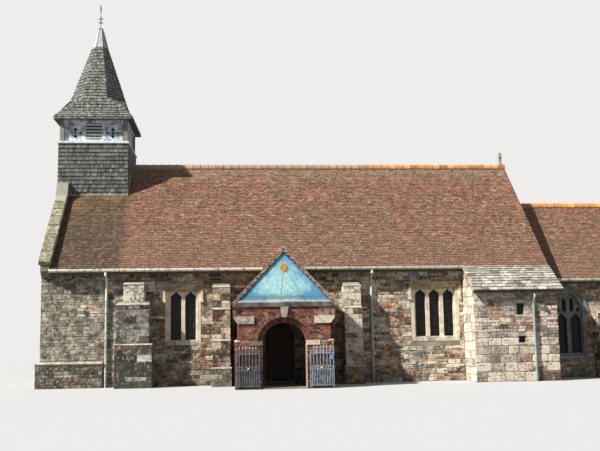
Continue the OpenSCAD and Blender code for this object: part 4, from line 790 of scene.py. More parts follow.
chancel_tiles = Courses(43)
chancel_cos = math.cos(math.atan(CHANCEL_SLOPE))
for side in (-1, 1):
    slope = plane((0, RIDGE_Y + side * (RIDGE_Y - CHANCEL_EAVES_Y), CHANCEL_EAVES), (-side, 0, 0),
                  (0, -side * chancel_cos, chancel_cos * CHANCEL_SLOPE))
    ends = (NAVE_E, CHANCEL_ROOF_E) if side < 0 else (-CHANCEL_ROOF_E, -NAVE_E)
    chancel_tiles.fill(slope, -TILE_OVER, (RIDGE_Y - CHANCEL_EAVES_Y) / chancel_cos, ends, **TILE)
lay("tiles_chancel", chancel_tiles, plain_tile, clay_tile, "clay_tiles", seed=43, **TILE_BED)


# Ridge tiles
# Hog-back clay tiles about 0.3 m long with a raised roll at one end, bright orange against the roof and
# bleached along the top, bedded end to end in pale mortar along all three ridges. The porch roof's section
# puts the mortar on, because it shortens it there.
ARC = [math.pi * i / 8 for i in range(9)]
# Places along a tile and how much of its full size it has there, along the outside and back along the inside
RIBS = [(-0.5, 0.90), (0.34, 0.90), (0.37, 1.0), (0.5, 1.0), (0.5, 0.82), (-0.5, 0.80)]
cap_points = [(x, math.cos(a) * 0.5 * r, math.sin(a) * r) for x, r in RIBS for a in ARC]
cap_faces = []
for rib in range(6):
    this, following = rib * 9, (rib + 1) % 6 * 9
    cap_faces += [(following + i, following + i + 1, this + i + 1, this + i) for i in range(8)]
cap_data = bpy.data.meshes.new("hog_back_tile")
cap_data.from_pydata(cap_points, [], cap_faces)
hog_back_tile = bpy.data.objects.new("hog_back_tile", cap_data)
bedding = Finish("ridge_bedding")
ridge_bedding = bedding.close(bedding.shade((0.62, 0.57, 0.48), bedding.noise(40, 4), 0.6, 1.1), 0.95,
                              bedding.noise(50, 4), 0.004)
orange = Finish("ridge_clay")
colour = orange.ramp(orange.mark("tone"), [
    (0, (0.38, 0.140, 0.036)), (0.5, (0.60, 0.255, 0.060)), (1, (0.68, 0.35, 0.105))])
colour = orange.shade(colour, orange.noise(9, 5), 0.6, 1.35)
worn_end = (1 - orange.rise(orange.axis("X"), 1.0, 6.5)) * orange.rise(orange.axis("Z"), 8.0, 8.1)
bleach = orange.rise(orange.noise(2.4, 6) + worn_end * 0.30, 0.58, 0.68) * (
    orange.rise(orange.axis("Z"), NAVE_RIDGE - 0.02, NAVE_RIDGE + 0.06) * 0.55 + 0.45)
colour = orange.blend(bleach * 0.88, colour, (0.30, 0.285, 0.27))
colour = orange.shade(colour, orange.rise(orange.axis("X"), 10.4, 10.5), 1.0, 1.4)
crumbs = orange.rise(orange.noise(8, 6, move=(2, 0, 5)), 0.56, 0.64)
colour = orange.blend(crumbs * 0.5, colour, (0.46, 0.38, 0.29))
ridge_clay = orange.close(colour, 0.85, orange.noise(30, 4), 0.003)
caps = Courses(51)
for start, end, z in ((TURRET_E, ROOF_E + 0.01, NAVE_RIDGE - 0.085),
                      (NAVE_E, CHANCEL_ROOF_E + 0.01, CHANCEL_RIDGE - 0.065)):
    count = round((end - start) / 0.33)
    caps.line([(start + (end - start) * i / count, RIDGE_Y, z) for i in range(count + 1)],
              (0, 1, 0), 0.38, 0.215)
caps.line([(0, -0.095 + 0.26 * i, 4.800) for i in range(13)], (-1, 0, 0), 0.25, 0.138)
lay("ridge_hog_backs", caps, hog_back_tile, ridge_clay, "ridge_clay", joint=0.016, wobble=0.02, rough=0.01)


# Stair bay roof
# A lean-to of heavy split limestone slates, thick and uneven, in courses that narrow towards the top,
# with a pale mortar fillet down its open verge.
slate = Finish("stone_slate")
cleft = slate.noise(14, 6, stretch=(1, 1, 3))
colour = slate.ramp(slate.mark("tone"), [
    (0, (0.15, 0.125, 0.100)), (0.12, (0.29, 0.26, 0.225)), (0.6, (0.41, 0.38, 0.345)),
    (1, (0.58, 0.55, 0.51))])
colour = slate.shade(colour, slate.rise(cleft, 0.34, 0.66), 0.55, 1.42)
colour = slate.blend(slate.rise(slate.noise(6, 6), 0.55, 0.64) * 0.35, colour, (0.20, 0.165, 0.115))
stone_slate = slate.close(colour, 0.9, cleft, 0.007)
split_slate = shape("split_slate", [
    (-0.5, 0, 0), (0.5, 0, 0), (-0.5, 0.04, 0.9), (0.46, 0, 1), (-0.5, 1.15, 0.1), (0.5, 1.15, 0.1),
    (-0.1, -0.06, 0), (-0.12, -0.06, 1)], [(2, 7, 3, 5, 4), (0, 6, 7, 2), (6, 1, 3, 7), (0, 2, 4), (1, 5, 3)])
slates = Courses(61)
BAY_SLOPE, SLATES_W, SLATES_E, SLATES_LONG = 0.7174, 7.03, 10.45, 1.70
bay_cos = math.cos(math.atan(BAY_SLOPE))
bay_up = np.array((0, bay_cos, bay_cos * BAY_SLOPE))
level = -0.04
for gauge in (0.215, 0.205, 0.20, 0.19, 0.18, 0.175, 0.165, 0.155, 0.145, 0.14):
    slates.fill(plane((0, 1.22, 3.36), (1, 0, 0), bay_up), level, min(level + gauge, SLATES_LONG),
                (SLATES_W, SLATES_E), (gauge, gauge + 0.001), (0.13, 0.38), (0.034, 0.056))
    level += gauge
lay("bay_slates", slates, split_slate, stone_slate, "stone_slates", joint=0.006, wobble=0.03, rough=0.025,
    grain=6)
fillet = Courses(62)
for i in range(9):
    foot = np.array((SLATES_W + 0.04, 1.24, 3.30)) + bay_up * 0.185 * i
    fillet.line([foot + bay_up * 0.185, foot], (0, -0.583, 0.813), 0.085, 0.045)
lay("bay_verge_mortar", fillet, rounded_stone, weathering_stone, "stone_slates",
    joint=0.004, wobble=0.02, rough=0.012, grain=9)


# Turret and spire shingles
# Cleft oak shingles, silvered by the weather, cover the turret's walls and the spire in short courses
# with ragged tails. Each face of the spire is narrower from course to course.
board = Finish("turret_board")
turret_board = board.close(board.ramp(board.noise(12, 4, stretch=(1, 1, 0.2)),
                                      [(0.3, (0.020, 0.020, 0.018)), (0.7, (0.05, 0.049, 0.044))]), 0.9)
dress(turret_board, "turret_walls", "spire")
oak = Finish("oak_shingle")
cleave = oak.noise(26, 4, stretch=(1, 1, 0.12))
colour = oak.ramp(oak.mark("tone") * 0.62 + oak.noise(2.4, 4) * 0.38, [
    (0.10, (0.040, 0.044, 0.044)), (0.40, (0.104, 0.112, 0.110)), (0.70, (0.168, 0.178, 0.170)),
    (0.90, (0.285, 0.295, 0.28)), (1.0, (0.45, 0.455, 0.43))])
colour = oak.shade(colour, oak.rise(cleave, 0.34, 0.66), 0.58, 1.38)
silver = oak.rise(oak.noise(11, 6, move=(8, 2, 1)), 0.54, 0.62) * oak.rise(oak.axis("Z"), 9.2, 11.6)
colour = oak.blend(silver * 0.65, colour, (0.48, 0.485, 0.44))
stained = oak.rise(oak.noise(3.1, 5, move=(1, 2, 1)), 0.54, 0.66)
colour = oak.blend(stained * 0.30, colour, (0.150, 0.118, 0.080))
oak_shingle = oak.close(colour, 0.85, cleave, 0.004)
shingle = shape("shingle", [
    (-0.5, 0, 0), (0.5, 0, 0), (-0.5, 0, 0.85), (0.5, 0.02, 1), (-0.5, 1.25, 0.05), (0.5, 1.25, 0.05)],
    [(2, 3, 5, 4), (0, 1, 3, 2), (0, 2, 4), (1, 5, 3)])
SHINGLE = {"rise": (0.168, 0.1681), "length": (0.07, 0.135), "depth": (0.030, 0.042)}
# Foot of the shingled walls, the sill band, the foot of the spire, its lead cap and the finial above it
TURRET_FOOT, SILL_Z, SPIRE_Z, LEAD_Z, ROD_Z = 7.66, 9.88, 10.90, 14.46, 15.34


def roof_behind(low, high):
    half = (NAVE_RIDGE - low) / NAVE_SLOPE
    return (RIDGE_Y - half, RIDGE_Y + half) if half > 0 else None


shingles = Courses(71)
lap = 0.02
for face, foot, span, holes in (
        (south(TURRET_S), TURRET_FOOT, (TURRET_W - lap, TURRET_E + lap), []),
        (north(TURRET_N), TURRET_FOOT, (-TURRET_E - lap, -TURRET_W + lap), []),
        (west(TURRET_W), TURRET_FOOT - 0.06, (-TURRET_N - lap, -TURRET_S + lap), []),
        (east(TURRET_E), TURRET_FOOT, (TURRET_S - lap, TURRET_N + lap), [roof_behind])):
    shingles.fill(face, foot, SILL_Z, span, holes=holes, **SHINGLE)


def spire_ring(half_x, half_y, cut):
    """The spire's outline at one level: a square whose corners are cut off."""
    return np.array([(-half_x + cut, -half_y), (half_x - cut, -half_y), (half_x, -half_y + cut),
                     (half_x, half_y - cut), (half_x - cut, half_y), (-half_x + cut, half_y),
                     (-half_x, half_y - cut), (-half_x, -half_y + cut)]) + (TURRET_X, RIDGE_Y)


EAVE_X, EAVE_Y, TIP, EIGHT_CUT = 1.61, 1.65, 0.32, 0.58
SPIRE_LEVELS = [(SPIRE_Z + 0.06, spire_ring(EAVE_X, EAVE_Y, 0.012)),
                (SPIRE_Z + 0.40, spire_ring(EAVE_X * 0.84, EAVE_Y * 0.84, 0.06)),
                (SPIRE_Z + 0.99, spire_ring(EAVE_X * 0.715, EAVE_Y * 0.715, EAVE_X * 0.715 * EIGHT_CUT)),
                (SPIRE_Z + 1.69, spire_ring(EAVE_X * 0.575, EAVE_Y * 0.565, EAVE_X * 0.57 * EIGHT_CUT)),
                (LEAD_Z, spire_ring(TIP, TIP, TIP * EIGHT_CUT))]
for (z0, ring0), (z1, ring1) in zip(SPIRE_LEVELS, SPIRE_LEVELS[1:]):
    rows = round(math.hypot(z1 - z0, ring0[:, 1].max() - ring1[:, 1].max()) / 0.16)
    for row in range(rows):
        low, high = row / rows, (row + 1) / rows
        near = [np.append(p + (q - p) * low, z0 + (z1 - z0) * low) for p, q in zip(ring0, ring1)]
        far = [np.append(p + (q - p) * high, z0 + (z1 - z0) * high) for p, q in zip(ring0, ring1)]
        for i in range(8):
            a, b = near[i], near[(i + 1) % 8]
            width = np.linalg.norm(b - a)
            if width < 0.045:
                continue
            up = (far[i] + far[(i + 1) % 8] - a - b) / 2
            count = max(1, round(width / 0.105))
            marks = np.linspace(0, 1, count + 1)
            marks[1:-1] += shingles.random.uniform(-0.22, 0.22, count - 1) / count
            shingles.line([a + (b - a) * m for m in marks], up / np.linalg.norm(up),
                          np.linalg.norm(up), shingles.random.uniform(0.028, 0.040))
ring = SPIRE_LEVELS[0][1]
for i in range(0, 8, 2):
    a, b = np.append(ring[i], SPIRE_Z - 0.012), np.append(ring[(i + 1) % 8], SPIRE_Z - 0.012)
    shingles.line([a + (b - a) * m for m in np.linspace(0, 1, 31)], (0, 0, 1), 0.085, 0.025)
lay("turret_shingles", shingles, shingle, oak_shingle, "oak_shingles", joint=0.005, wobble=0.015, rough=0.008,
    grain=9, seed=71)


# Belfry stage
# Vertical boards between grey-green corner posts, limewashed nearly white and blue-grey in patches, with
# an arrow-ended cross pierced either side of a bank of white slats.
paint = Finish("belfry_boards")
dirt = paint.noise(5, 6)
BOARD_WIDE, CROSS_X, CROSS_Y, CROSS_Z = 0.17, 0.77, 0.79, 10.348
seam = 1 - paint.rise(abs((paint.axis("X") + paint.axis("Y")) % BOARD_WIDE - BOARD_WIDE / 2), 0.0, 0.009)
colour = paint.ramp(dirt, [
    (0.34, (0.17, 0.205, 0.255)), (0.48, (0.50, 0.57, 0.67)), (0.60, (0.86, 0.87, 0.95))])
colour = paint.shade(colour, paint.noise(25, 4, stretch=(1, 1, 0.1)), 0.75, 1.35)
from_middle = abs(paint.axis("X") - TURRET_X), abs(paint.axis("Y") - RIDGE_Y)
corner_post = paint.rise(from_middle[0], 1.20, 1.21) * paint.rise(from_middle[1], 1.20, 1.21)
post_paint = paint.ramp(dirt, [(0.35, (0.15, 0.17, 0.15)), (0.65, (0.32, 0.345, 0.30))])
colour = paint.blend(corner_post, colour, post_paint)
colour = paint.blend(seam * 0.8, colour, (0.05, 0.055, 0.06))
# The pierced cross is painted near black on the boards, as the shade inside its opening.
off = paint.maths("MINIMUM", abs(from_middle[0] - CROSS_X), abs(from_middle[1] - CROSS_Y))
level = abs(paint.axis("Z") - CROSS_Z)
arm = (1 - paint.rise(off, 0.27, 0.28)) * (1 - paint.rise(level, 0.014, 0.022))
stem = (1 - paint.rise(off, 0.020, 0.028)) * (1 - paint.rise(level, 0.20, 0.21))
arrow = (1 - paint.rise(off + level * 0.72, 0.176, 0.184)) * paint.rise(level, 0.115, 0.12)
cut = arm + stem + arrow
colour = paint.blend(paint.rise(cut, 0.2, 0.9) * 0.94, colour, (0.012, 0.013, 0.015))
belfry_boards = paint.close(colour, 0.75, dirt - seam, 0.006)
dress(belfry_boards, "belfry_stage")
dress(one_noise_finish("belfry_slats", 9, 5, (0.3, (0.42, 0.47, 0.48)), (0.55, (0.76, 0.81, 0.82)), 0.7,
                       0.003),
      "belfry_louvres")


# Lead work
# Dull white-grey lead sheet: the sill band round the turret, the flashing at its foot, the cap over the
# tip of the shingles with a roll down each hip, and the ledge over the porch cornice.
lead = Finish("lead_sheet")
streak = lead.noise(7, 5, stretch=(1, 1, 0.15))
colour = lead.ramp(streak, [(0.3, (0.46, 0.52, 0.53)), (0.5, (0.74, 0.80, 0.81)), (0.8, (0.80, 0.85, 0.85))])
colour = lead.shade(colour, lead.rise(lead.axis("Z"), 14.3, 14.4), 1.0, 0.68)
lead_sheet = lead.close(colour, lead.rise(streak, 0.2, 0.8) * 0.25 + 0.5, lead.noise(11, 3), 0.006)
dress(lead_sheet, "turret_sill_band", "spire_lead_cap")
HEX = [(math.cos(math.pi * i / 3) * 0.5, math.sin(math.pi * i / 3) * 0.5) for i in range(6)]
rod = shape("rod", [(x, y, z) for x in (-0.5, 0.5) for y, z in HEX], ring_faces(0, 6, 6) + SIX_SIDED_ENDS)
rolls = Courses(81)
for a, b in zip(*(spire_ring(half, half, half * EIGHT_CUT) for half in (0.332, 0.112))):
    rolls.line([np.append(a, LEAD_Z + 0.01), np.append(b, ROD_Z)], (0, 1, 0), 0.030, 0.030)
lay("lead_rolls", rolls, rod, lead_sheet, "lead", joint=0)
foot_flashing = one_noise_finish(
    "foot_flashing", 13, 5, (0.35, (0.30, 0.26, 0.20)), (0.55, (0.60, 0.54, 0.44)), 0.85, 0.006)
strips = Courses(82)
STRIP = {"rise": (0.06, 0.061), "length": (0.35, 0.8), "depth": (0.045, 0.055)}
strips.fill(south(TURRET_S), 7.655, 7.715, (TURRET_W + 0.35, TURRET_E + 0.05), **STRIP)
strips.fill(north(TURRET_N), 7.655, 7.715, (-TURRET_E - 0.05, -TURRET_W - 0.35), **STRIP)
for side in (-1, 1):
    half = TURRET_N - RIDGE_Y
    foot = np.array((TURRET_E, RIDGE_Y + side * half, NAVE_RIDGE - half * NAVE_SLOPE))
    stride = np.array((0, -side * COS, SIN)) * 0.33
    for step in range(6):
        ends = (foot + stride * step, foot + stride * (step + 1))
        strips.line(ends if side < 0 else ends[::-1], (0, side * SIN, COS), 0.06, 0.045)
lay("turret_flashing", strips, rounded_stone, foot_flashing, "lead", joint=0.006, wobble=0.02, rough=0.02,
    grain=5)


# Finial, weathercock and other ironwork
# Wrought iron rod with scrolls under a cockerel that was once gilded, and the pintles of gates and door.
iron = Finish("dark_iron")
rust = iron.noise(60, 4)
colour = iron.ramp(rust, [(0.4, (0.045, 0.047, 0.05)), (0.65, (0.12, 0.085, 0.06))])
dark_iron = iron.close(colour, iron.rise(rust, 0.3, 0.7) * 0.3 + 0.5, rust, 0.001, Metallic=0.7)
dress(dark_iron, "spire_finial", "gate_pintles", "door_pintles")
gilt = Finish("worn_gilt")
wear = gilt.noise(14, 5)
colour = gilt.ramp(wear, [(0.35, (0.44, 0.26, 0.06)), (0.6, (0.58, 0.38, 0.11)), (0.75, (0.40, 0.33, 0.20))])
worn_gilt = gilt.close(colour, gilt.rise(wear, 0.4, 0.7) * 0.4 + 0.35, wear, 0.001, Metallic=0.5)
dress(worn_gilt, "sundial_gnomon")
bleached = Finish("bleached_gilt")
bloom = bleached.noise(18, 5)
dress(bleached.close(bleached.ramp(bloom, [(0.35, (0.36, 0.33, 0.25)), (0.65, (0.50, 0.49, 0.44))]),
                     bleached.rise(bloom, 0.3, 0.7) * 0.3 + 0.4, bloom, 0.001, Metallic=0.2), "weathercock")


# Porch brickwork
# Handmade red bricks in lime joints, worn and patched, with headers on edge in both rings of the arch. The
# middle stage is set back under weathering stones and oversails again below the eaves.
joints = Finish("brick_joint")
sand = joints.noise(70, 4)
brick_joint = joints.close(joints.shade(joints.ramp(joints.noise(2, 4), [
    (0.3, (0.17, 0.115, 0.090)), (0.7, (0.33, 0.265, 0.215))]), sand, 0.7, 1.15), 0.95, sand, 0.003)
dress(brick_joint, "porch_piers", "porch_arch_wall", "porch_side_walls")
# Arch: height of its centre, radius of the opening, of the inner and of the outer ring of bricks
ARCH_Z, JAMB, ORDER, RING = 1.50, 0.76, 0.94, 1.05
# Half widths of the piers, the middle stage and the head that oversails it, and the heights between them
PIER_X, STAGE_X, HEAD_X = 1.70, 1.60, 1.76
IMPOST_Z, PIER_Z, STAGE_Z, SKEW_Z, CORBEL_Z, HEAD_Z, BRICKS_TOP = 1.48, 1.59, 1.64, 2.22, 2.30, 2.48, 2.80
# How far the stages are set back from the piers, and how thick the front wall is
SETBACK, FRONT_DEEP, BRICK_LAP = 0.05, 0.45, 0.005


def brick_finish(name, stops, scuffed):
    """Red clay, scarred and chalky, damp at the foot, darkened as painted shade behind the open gates and
    inside the porch, and rubbed pale where the arch's edge has been knocked."""
    clay = Finish(name)
    scar = clay.noise(21, 5)
    colour = clay.ramp(clay.mark("kind") * 0.8 + clay.noise(1.6, 3) * 0.2, stops)
    colour = clay.shade(colour, clay.rise(scar, 0.34, 0.66), 0.55, 1.42)
    place = clay.rise(clay.axis("X"), 0.85, 1.30) * clay.rise(abs(clay.axis("Z") - 2.05), 0.15, 0.50) * 0.13
    chalk = clay.rise(clay.noise(7, 6, move=(5, 0, 2)) + place, 0.56, 0.68) * scuffed
    colour = clay.blend(chalk, colour, (0.50, 0.37, 0.28))
    ground = 1 - clay.rise(clay.axis("Z") + clay.noise(2, 3) * 0.6, 0.3, 1.1)
    colour = clay.blend(ground * 0.45, colour, (0.10, 0.085, 0.07))
    # Painted shade of the open gates: the piers' fronts are darkened below about 1.3 m.
    behind = (1 - clay.rise(clay.axis("Z") + clay.noise(2, 3) * 0.4, 0.9, 1.7)) * (
        1 - clay.rise(clay.axis("Y"), 0.02, 0.03))
    colour = clay.blend(behind * 0.82, colour, (0.040, 0.024, 0.022))
    # Painted shade inside the porch: its inner faces are darkened nearly to black.
    inside = clay.rise(clay.axis("Y"), 0.44, 0.60) * (1 - clay.rise(abs(clay.axis("X")), 1.50, 1.55))
    colour = clay.blend(inside * 0.88, colour, (0.018, 0.013, 0.012))
    worn = (1 - clay.rise(abs(clay.axis("X") - JAMB), 0.012, 0.020)) * (
        1 - clay.rise(clay.axis("Z"), IMPOST_Z - 0.01, IMPOST_Z + 0.01))
    colour = clay.blend(worn * clay.rise(scar, 0.35, 0.55) * 0.75, colour, (0.62, 0.47, 0.39))
    return clay.close(colour, 0.9, scar, 0.003)


porch_brick = brick_finish("porch_brick", [
    (0.08, (0.048, 0.021, 0.020)), (0.3, (0.138, 0.047, 0.036)), (0.6, (0.228, 0.077, 0.053)),
    (0.85, (0.315, 0.118, 0.082)), (1, (0.46, 0.26, 0.195))], 0.6)
brick = shape("brick", [(-0.5, 0, -0.2), (0.5, 0, -0.2), (0.5, 1, -0.2), (-0.5, 1, -0.2),
                        (-0.48, 0.06, 1), (0.48, 0.06, 1), (0.48, 0.94, 1), (-0.48, 0.94, 1)],
              ring_faces(0, 4, 4) + [(4, 5, 6, 7)])
BRICK = {"rise": (0.0745, 0.0746), "length": (0.225, 0.225), "depth": (0.004, 0.010), "bond": True}


def arch_hole(radius):
    def at(low, high):
        level = max(0.0, (low + high) / 2 - ARCH_Z)
        if level >= radius:
            return None
        reach = math.sqrt(radius ** 2 - level ** 2)
        return -reach, reach
    return at


def key_hole(low, high):
    half = 0.08 + (high - 2.43) * 0.176
    return (-half, half) if low > 2.40 else None


bricks = Courses(91)
for side in (-1, 1):
    bricks.fill(south(0.0), 0, IMPOST_Z, sorted((side * JAMB, side * (PIER_X + BRICK_LAP))), **BRICK)
    bricks.fill(south(0.0), IMPOST_Z, PIER_Z, sorted((side * 1.22, side * (PIER_X + BRICK_LAP))), **BRICK)
    outer, inner = (west, east) if side < 0 else (east, west)
    for face, x, low, high, near, far in (
            (outer, PIER_X, 0, PIER_Z, 0, NAVE_S),
            (outer, STAGE_X, STAGE_Z, SKEW_Z, SETBACK, NAVE_S),
            (outer, HEAD_X, HEAD_Z, BRICKS_TOP, SETBACK, NAVE_S),
            (outer, STAGE_X, SKEW_Z, CORBEL_Z, FRONT_DEEP, NAVE_S),
            (inner, JAMB, 0, IMPOST_Z, 0, FRONT_DEEP),
            (inner, PORCH_INSIDE, PORCH_FLOOR, PORCH_CEILING, FRONT_DEEP, NAVE_S)):
        face = face(side * x)
        span = (near, far) if face[1][1] > 0 else (-far, -near)
        bricks.fill(face, low, high, span, **BRICK)
    rake = plane((side * STAGE_X, 0, CORBEL_Z), (0, side, 0), (side * 0.664, 0, 0.747))
    bricks.fill(rake, 0, 0.24, (FRONT_DEEP, NAVE_S) if side > 0 else (-NAVE_S, -FRONT_DEEP), **BRICK)
    back = sorted((side * JAMB, side * PORCH_INSIDE))
    bricks.fill(north(FRONT_DEEP), PORCH_FLOOR, IMPOST_Z, (-back[1], -back[0]), **BRICK)
stones = [rect_hole(-2, -1.04, SKEW_Z, HEAD_Z), rect_hole(1.04, 2, SKEW_Z, HEAD_Z), key_hole]
for x, low, high in ((STAGE_X, STAGE_Z, HEAD_Z), (HEAD_X, HEAD_Z, BRICKS_TOP)):
    bricks.fill(south(SETBACK), low, high, (-x - BRICK_LAP, x + BRICK_LAP), holes=[arch_hole(RING)] + stones,
                **BRICK)
bricks.fill(north(FRONT_DEEP), STAGE_Z, PORCH_CEILING, (-PORCH_INSIDE, PORCH_INSIDE), holes=[arch_hole(JAMB)],
            **BRICK)

rubbed_brick = brick_finish("rubbed_brick", [
    (0.1, (0.090, 0.032, 0.028)), (0.5, (0.160, 0.058, 0.047)), (1, (0.27, 0.115, 0.090))], 0.32)
voussoirs = Courses(92)
INNER_RING_Y, ARCH_BRICK = 0.17, 0.078
for radius, top, front, behind, ring in ((ORDER, RING, SETBACK, INNER_RING_Y, bricks),
                                         (JAMB, ORDER, INNER_RING_Y, FRONT_DEEP, voussoirs)):
    count = round(math.pi * (radius + 0.05) / ARCH_BRICK)
    for i in range(count):
        turn = math.pi * (i + 0.5) / count
        radial = np.array((math.cos(turn), 0, math.sin(turn)))
        along = np.array((math.sin(turn), 0, -math.cos(turn)))
        foot = np.array((0, front, ARCH_Z)) + radial * radius
        half = along * math.pi * (radius + 0.05) / count / 2
        ring.line([foot - half, foot + half], radial, top - radius, ring.random.uniform(0.005, 0.009))
        back = np.array((0, behind, ARCH_Z)) + radial * radius
        voussoirs.line([foot - half, back - half], along, math.pi * radius / count,
                       voussoirs.random.uniform(0.004, 0.007))
lay("porch_bricks", bricks, brick, porch_brick, "porch_brick", joint=0.009, wobble=0.006, rough=0.006,
    grain=20, seed=91)
lay("porch_arch_bricks", voussoirs, brick, rubbed_brick, "porch_brick", joint=0.005, wobble=0.004,
    rough=0.003, grain=20, seed=92)

caps = Courses(93)
CAP_Z = PIER_Z - BRICK_LAP
for side in (-1, 1):
    slope = plane((side * (PIER_X + BRICK_LAP), 0, CAP_Z), (0, side, 0), (-side * 0.894, 0, 0.447))
    caps.fill(slope, 0, 0.115, (0.01, 2.89) if side > 0 else (-2.89, -0.01), (0.115, 0.116), (0.30, 0.46),
              (0.050, 0.064))
    front = plane((0, -0.006, CAP_Z), (1, 0, 0), (0, 0.707, 0.707))
    caps.add(front, *sorted((side * 1.52, side * 1.715)), 0, 0.075, 0.035)
lay("pier_weatherings", caps, square_block, weathering_stone, "porch_dressing", joint=0.006, wobble=0.01,
    rough=0.02, grain=8)

dressed = Finish("porch_dressed_stone")
chip = dressed.noise(24, 6)
across, height = dressed.axis("X"), dressed.axis("Z")
smooth = dressed.noise(6, 6)
colour = dressed.ramp(smooth, [
    (0.32, (0.24, 0.21, 0.18)), (0.5, (0.43, 0.39, 0.345)), (0.7, (0.60, 0.55, 0.49))])
low = 1 - dressed.rise(height + smooth * 0.1, 1.68, 1.76)
impost = dressed.ramp(smooth, [(0.35, (0.11, 0.080, 0.062)), (0.65, (0.30, 0.225, 0.175))])
colour = dressed.blend(low, colour, impost)
key = dressed.ramp(smooth, [(0.35, (0.28, 0.225, 0.19)), (0.65, (0.52, 0.445, 0.385))])
colour = dressed.blend(dressed.rise(across, -0.35, -0.25), colour, key)
sunny = dressed.ramp(smooth, [
    (0.3, (0.60, 0.49, 0.39)), (0.5, (0.80, 0.70, 0.57)), (0.7, (0.84, 0.77, 0.66))])
colour = dressed.blend(dressed.rise(across, 0.25, 0.35), colour, sunny)
# A dark diagonal line across the east corner stone, above the height of the skew.
dark_diagonal = 1 - dressed.rise(abs(across - 1.30 + (height - 2.35) * 1.15 + smooth * 0.06), 0.012, 0.030)
dark_diagonal = dark_diagonal * dressed.rise(height, SKEW_Z - 0.01, SKEW_Z + 0.01)
colour = dressed.blend(dark_diagonal * 0.7, dressed.shade(colour, chip, 0.62, 1.25), (0.20, 0.135, 0.10))
dress(dressed.close(colour, 0.85, chip - dark_diagonal, 0.005), "porch_dressings")
moulded = Finish("cornice_stone")
chip = moulded.noise(24, 5)
colour = moulded.ramp(moulded.noise(2.6, 5), [
    (0.34, (0.22, 0.18, 0.17)), (0.5, (0.46, 0.40, 0.385)), (0.66, (0.70, 0.65, 0.62))])
dress(moulded.close(moulded.shade(colour, chip, 0.84, 1.42), 0.88, chip, 0.004), "porch_cornice")
ledge = Courses(94)
ledge.fill(south(-0.042), 2.975, 3.006, (-1.60, 1.60), (0.031, 0.032), (0.7, 1.0), (0.032, 0.035))
lay("cornice_flashing", ledge, square_block, lead_sheet, "lead", joint=0.003, wobble=0.006, rough=0.008)


# Sundial gable
# Rendered panel painted sky blue, worn to a pale cyan in the middle and dirty along its foot, with fine
# hour lines that run out from the gilt root of the gnomon.
dial = Finish("sundial_panel")
across, height = dial.axis("X"), dial.axis("Z")
scuff = dial.noise(5, 7)
reach = abs(across + 0.10) * 0.95 + abs(height - 3.50) * 1.05
pale = 1 - dial.rise(reach + (scuff - 0.5) * 1.2, 0.55, 1.35)
colour = dial.blend(pale, (0.105, 0.385, 0.70), dial.ramp(dial.noise(9, 6, move=(3, 1, 1)), [
    (0.35, (0.34, 0.78, 0.92)), (0.55, (0.52, 0.89, 0.95)), (0.7, (0.70, 0.93, 0.93))]))
colour = dial.shade(colour, dial.noise(20, 5), 0.82, 1.16)
dirty = dial.rise(dial.noise(8, 7, move=(7, 2, 9)), 0.52, 0.68)
colour = dial.blend(dirty * 0.28, colour, (0.20, 0.40, 0.50))
GNOMON_Z, HOUR, NOON = 4.14, math.radians(15), -0.115
drop = GNOMON_Z - height
turn = dial.maths("ARCTAN2", across, drop)
radius = dial.maths("SQRT", across * across + drop * drop)
spoke = abs((turn - NOON + HOUR / 2) % HOUR - HOUR / 2) * radius
line = (1 - dial.rise(spoke, 0.003, 0.009)) * dial.rise(radius, 0.16, 0.18)
line = line * (1 - dial.rise(abs(turn), 1.20, 1.25))
noon = (1 - dial.rise(abs(turn - NOON) * radius, 0.007, 0.014)) * dial.rise(height, 3.19, 3.21)
colour = dial.blend(line * 0.36 + noon * dial.rise(radius, 0.14, 0.16) * 0.6, colour, (0.10, 0.135, 0.15))
tarnish = (1 - dial.rise(radius + (scuff - 0.5) * 0.25, 0.13, 0.26)) * 0.55
colour = dial.blend(tarnish, colour, (0.42, 0.45, 0.20))
grime = 1 - dial.rise(abs(height + (scuff - 0.5) * 0.22 - 3.12) + abs(across + 0.13) * 0.03, 0.04, 0.13)
colour = dial.blend((1 - dial.rise(height + scuff * 0.2, 3.15, 3.60)) * 0.35, colour, (0.070, 0.27, 0.43))
colour = dial.blend(grime * 0.62, colour, (0.17, 0.20, 0.21))
dress(dial.close(colour, 0.7, scuff, 0.003), "porch_gable_panel")


# Porch roof
# The same plain tiles as the nave, browner and mossy, on two steep slopes, with their edges bedded in
# pale mortar down both verges. The boards and the ridge's mortar end closer to the sundial than the CAD's
# do, so copies with a nearer front replace them. The ridge's three stretches are one node.
porch_tile = tile_finish("porch_tile", [
    (0.05, (0.11, 0.062, 0.045)), (0.4, (0.215, 0.118, 0.080)), (0.7, (0.31, 0.17, 0.115)),
    (1.0, (0.46, 0.34, 0.26))], (4.0, 6.0), 0.6, False)
verge = Finish("verge_mortar")
speck = verge.noise(34, 5)
colour = verge.ramp(verge.rise(verge.noise(17, 4), 0.38, 0.62), [
    (0.0, (0.085, 0.045, 0.035)), (0.5, (0.21, 0.125, 0.095)), (0.75, (0.50, 0.41, 0.35))])
verge_mortar = verge.close(verge.shade(colour, speck, 0.7, 1.2), 0.92, speck, 0.004)
PORCH_VERGE_Y, CAD_VERGE_Y = -0.080, -0.15


def merge_triangles(data):
    """Joins the loose triangles of a copied CAD mesh, whose corners keep their normals."""
    normals = [tuple(corner.vector) for corner in data.corner_normals]
    merged = bmesh.new()
    merged.from_mesh(data)
    bmesh.ops.remove_doubles(merged, verts=merged.verts, dist=1e-6)
    merged.to_mesh(data)
    merged.free()
    data.normals_split_custom_set(normals)


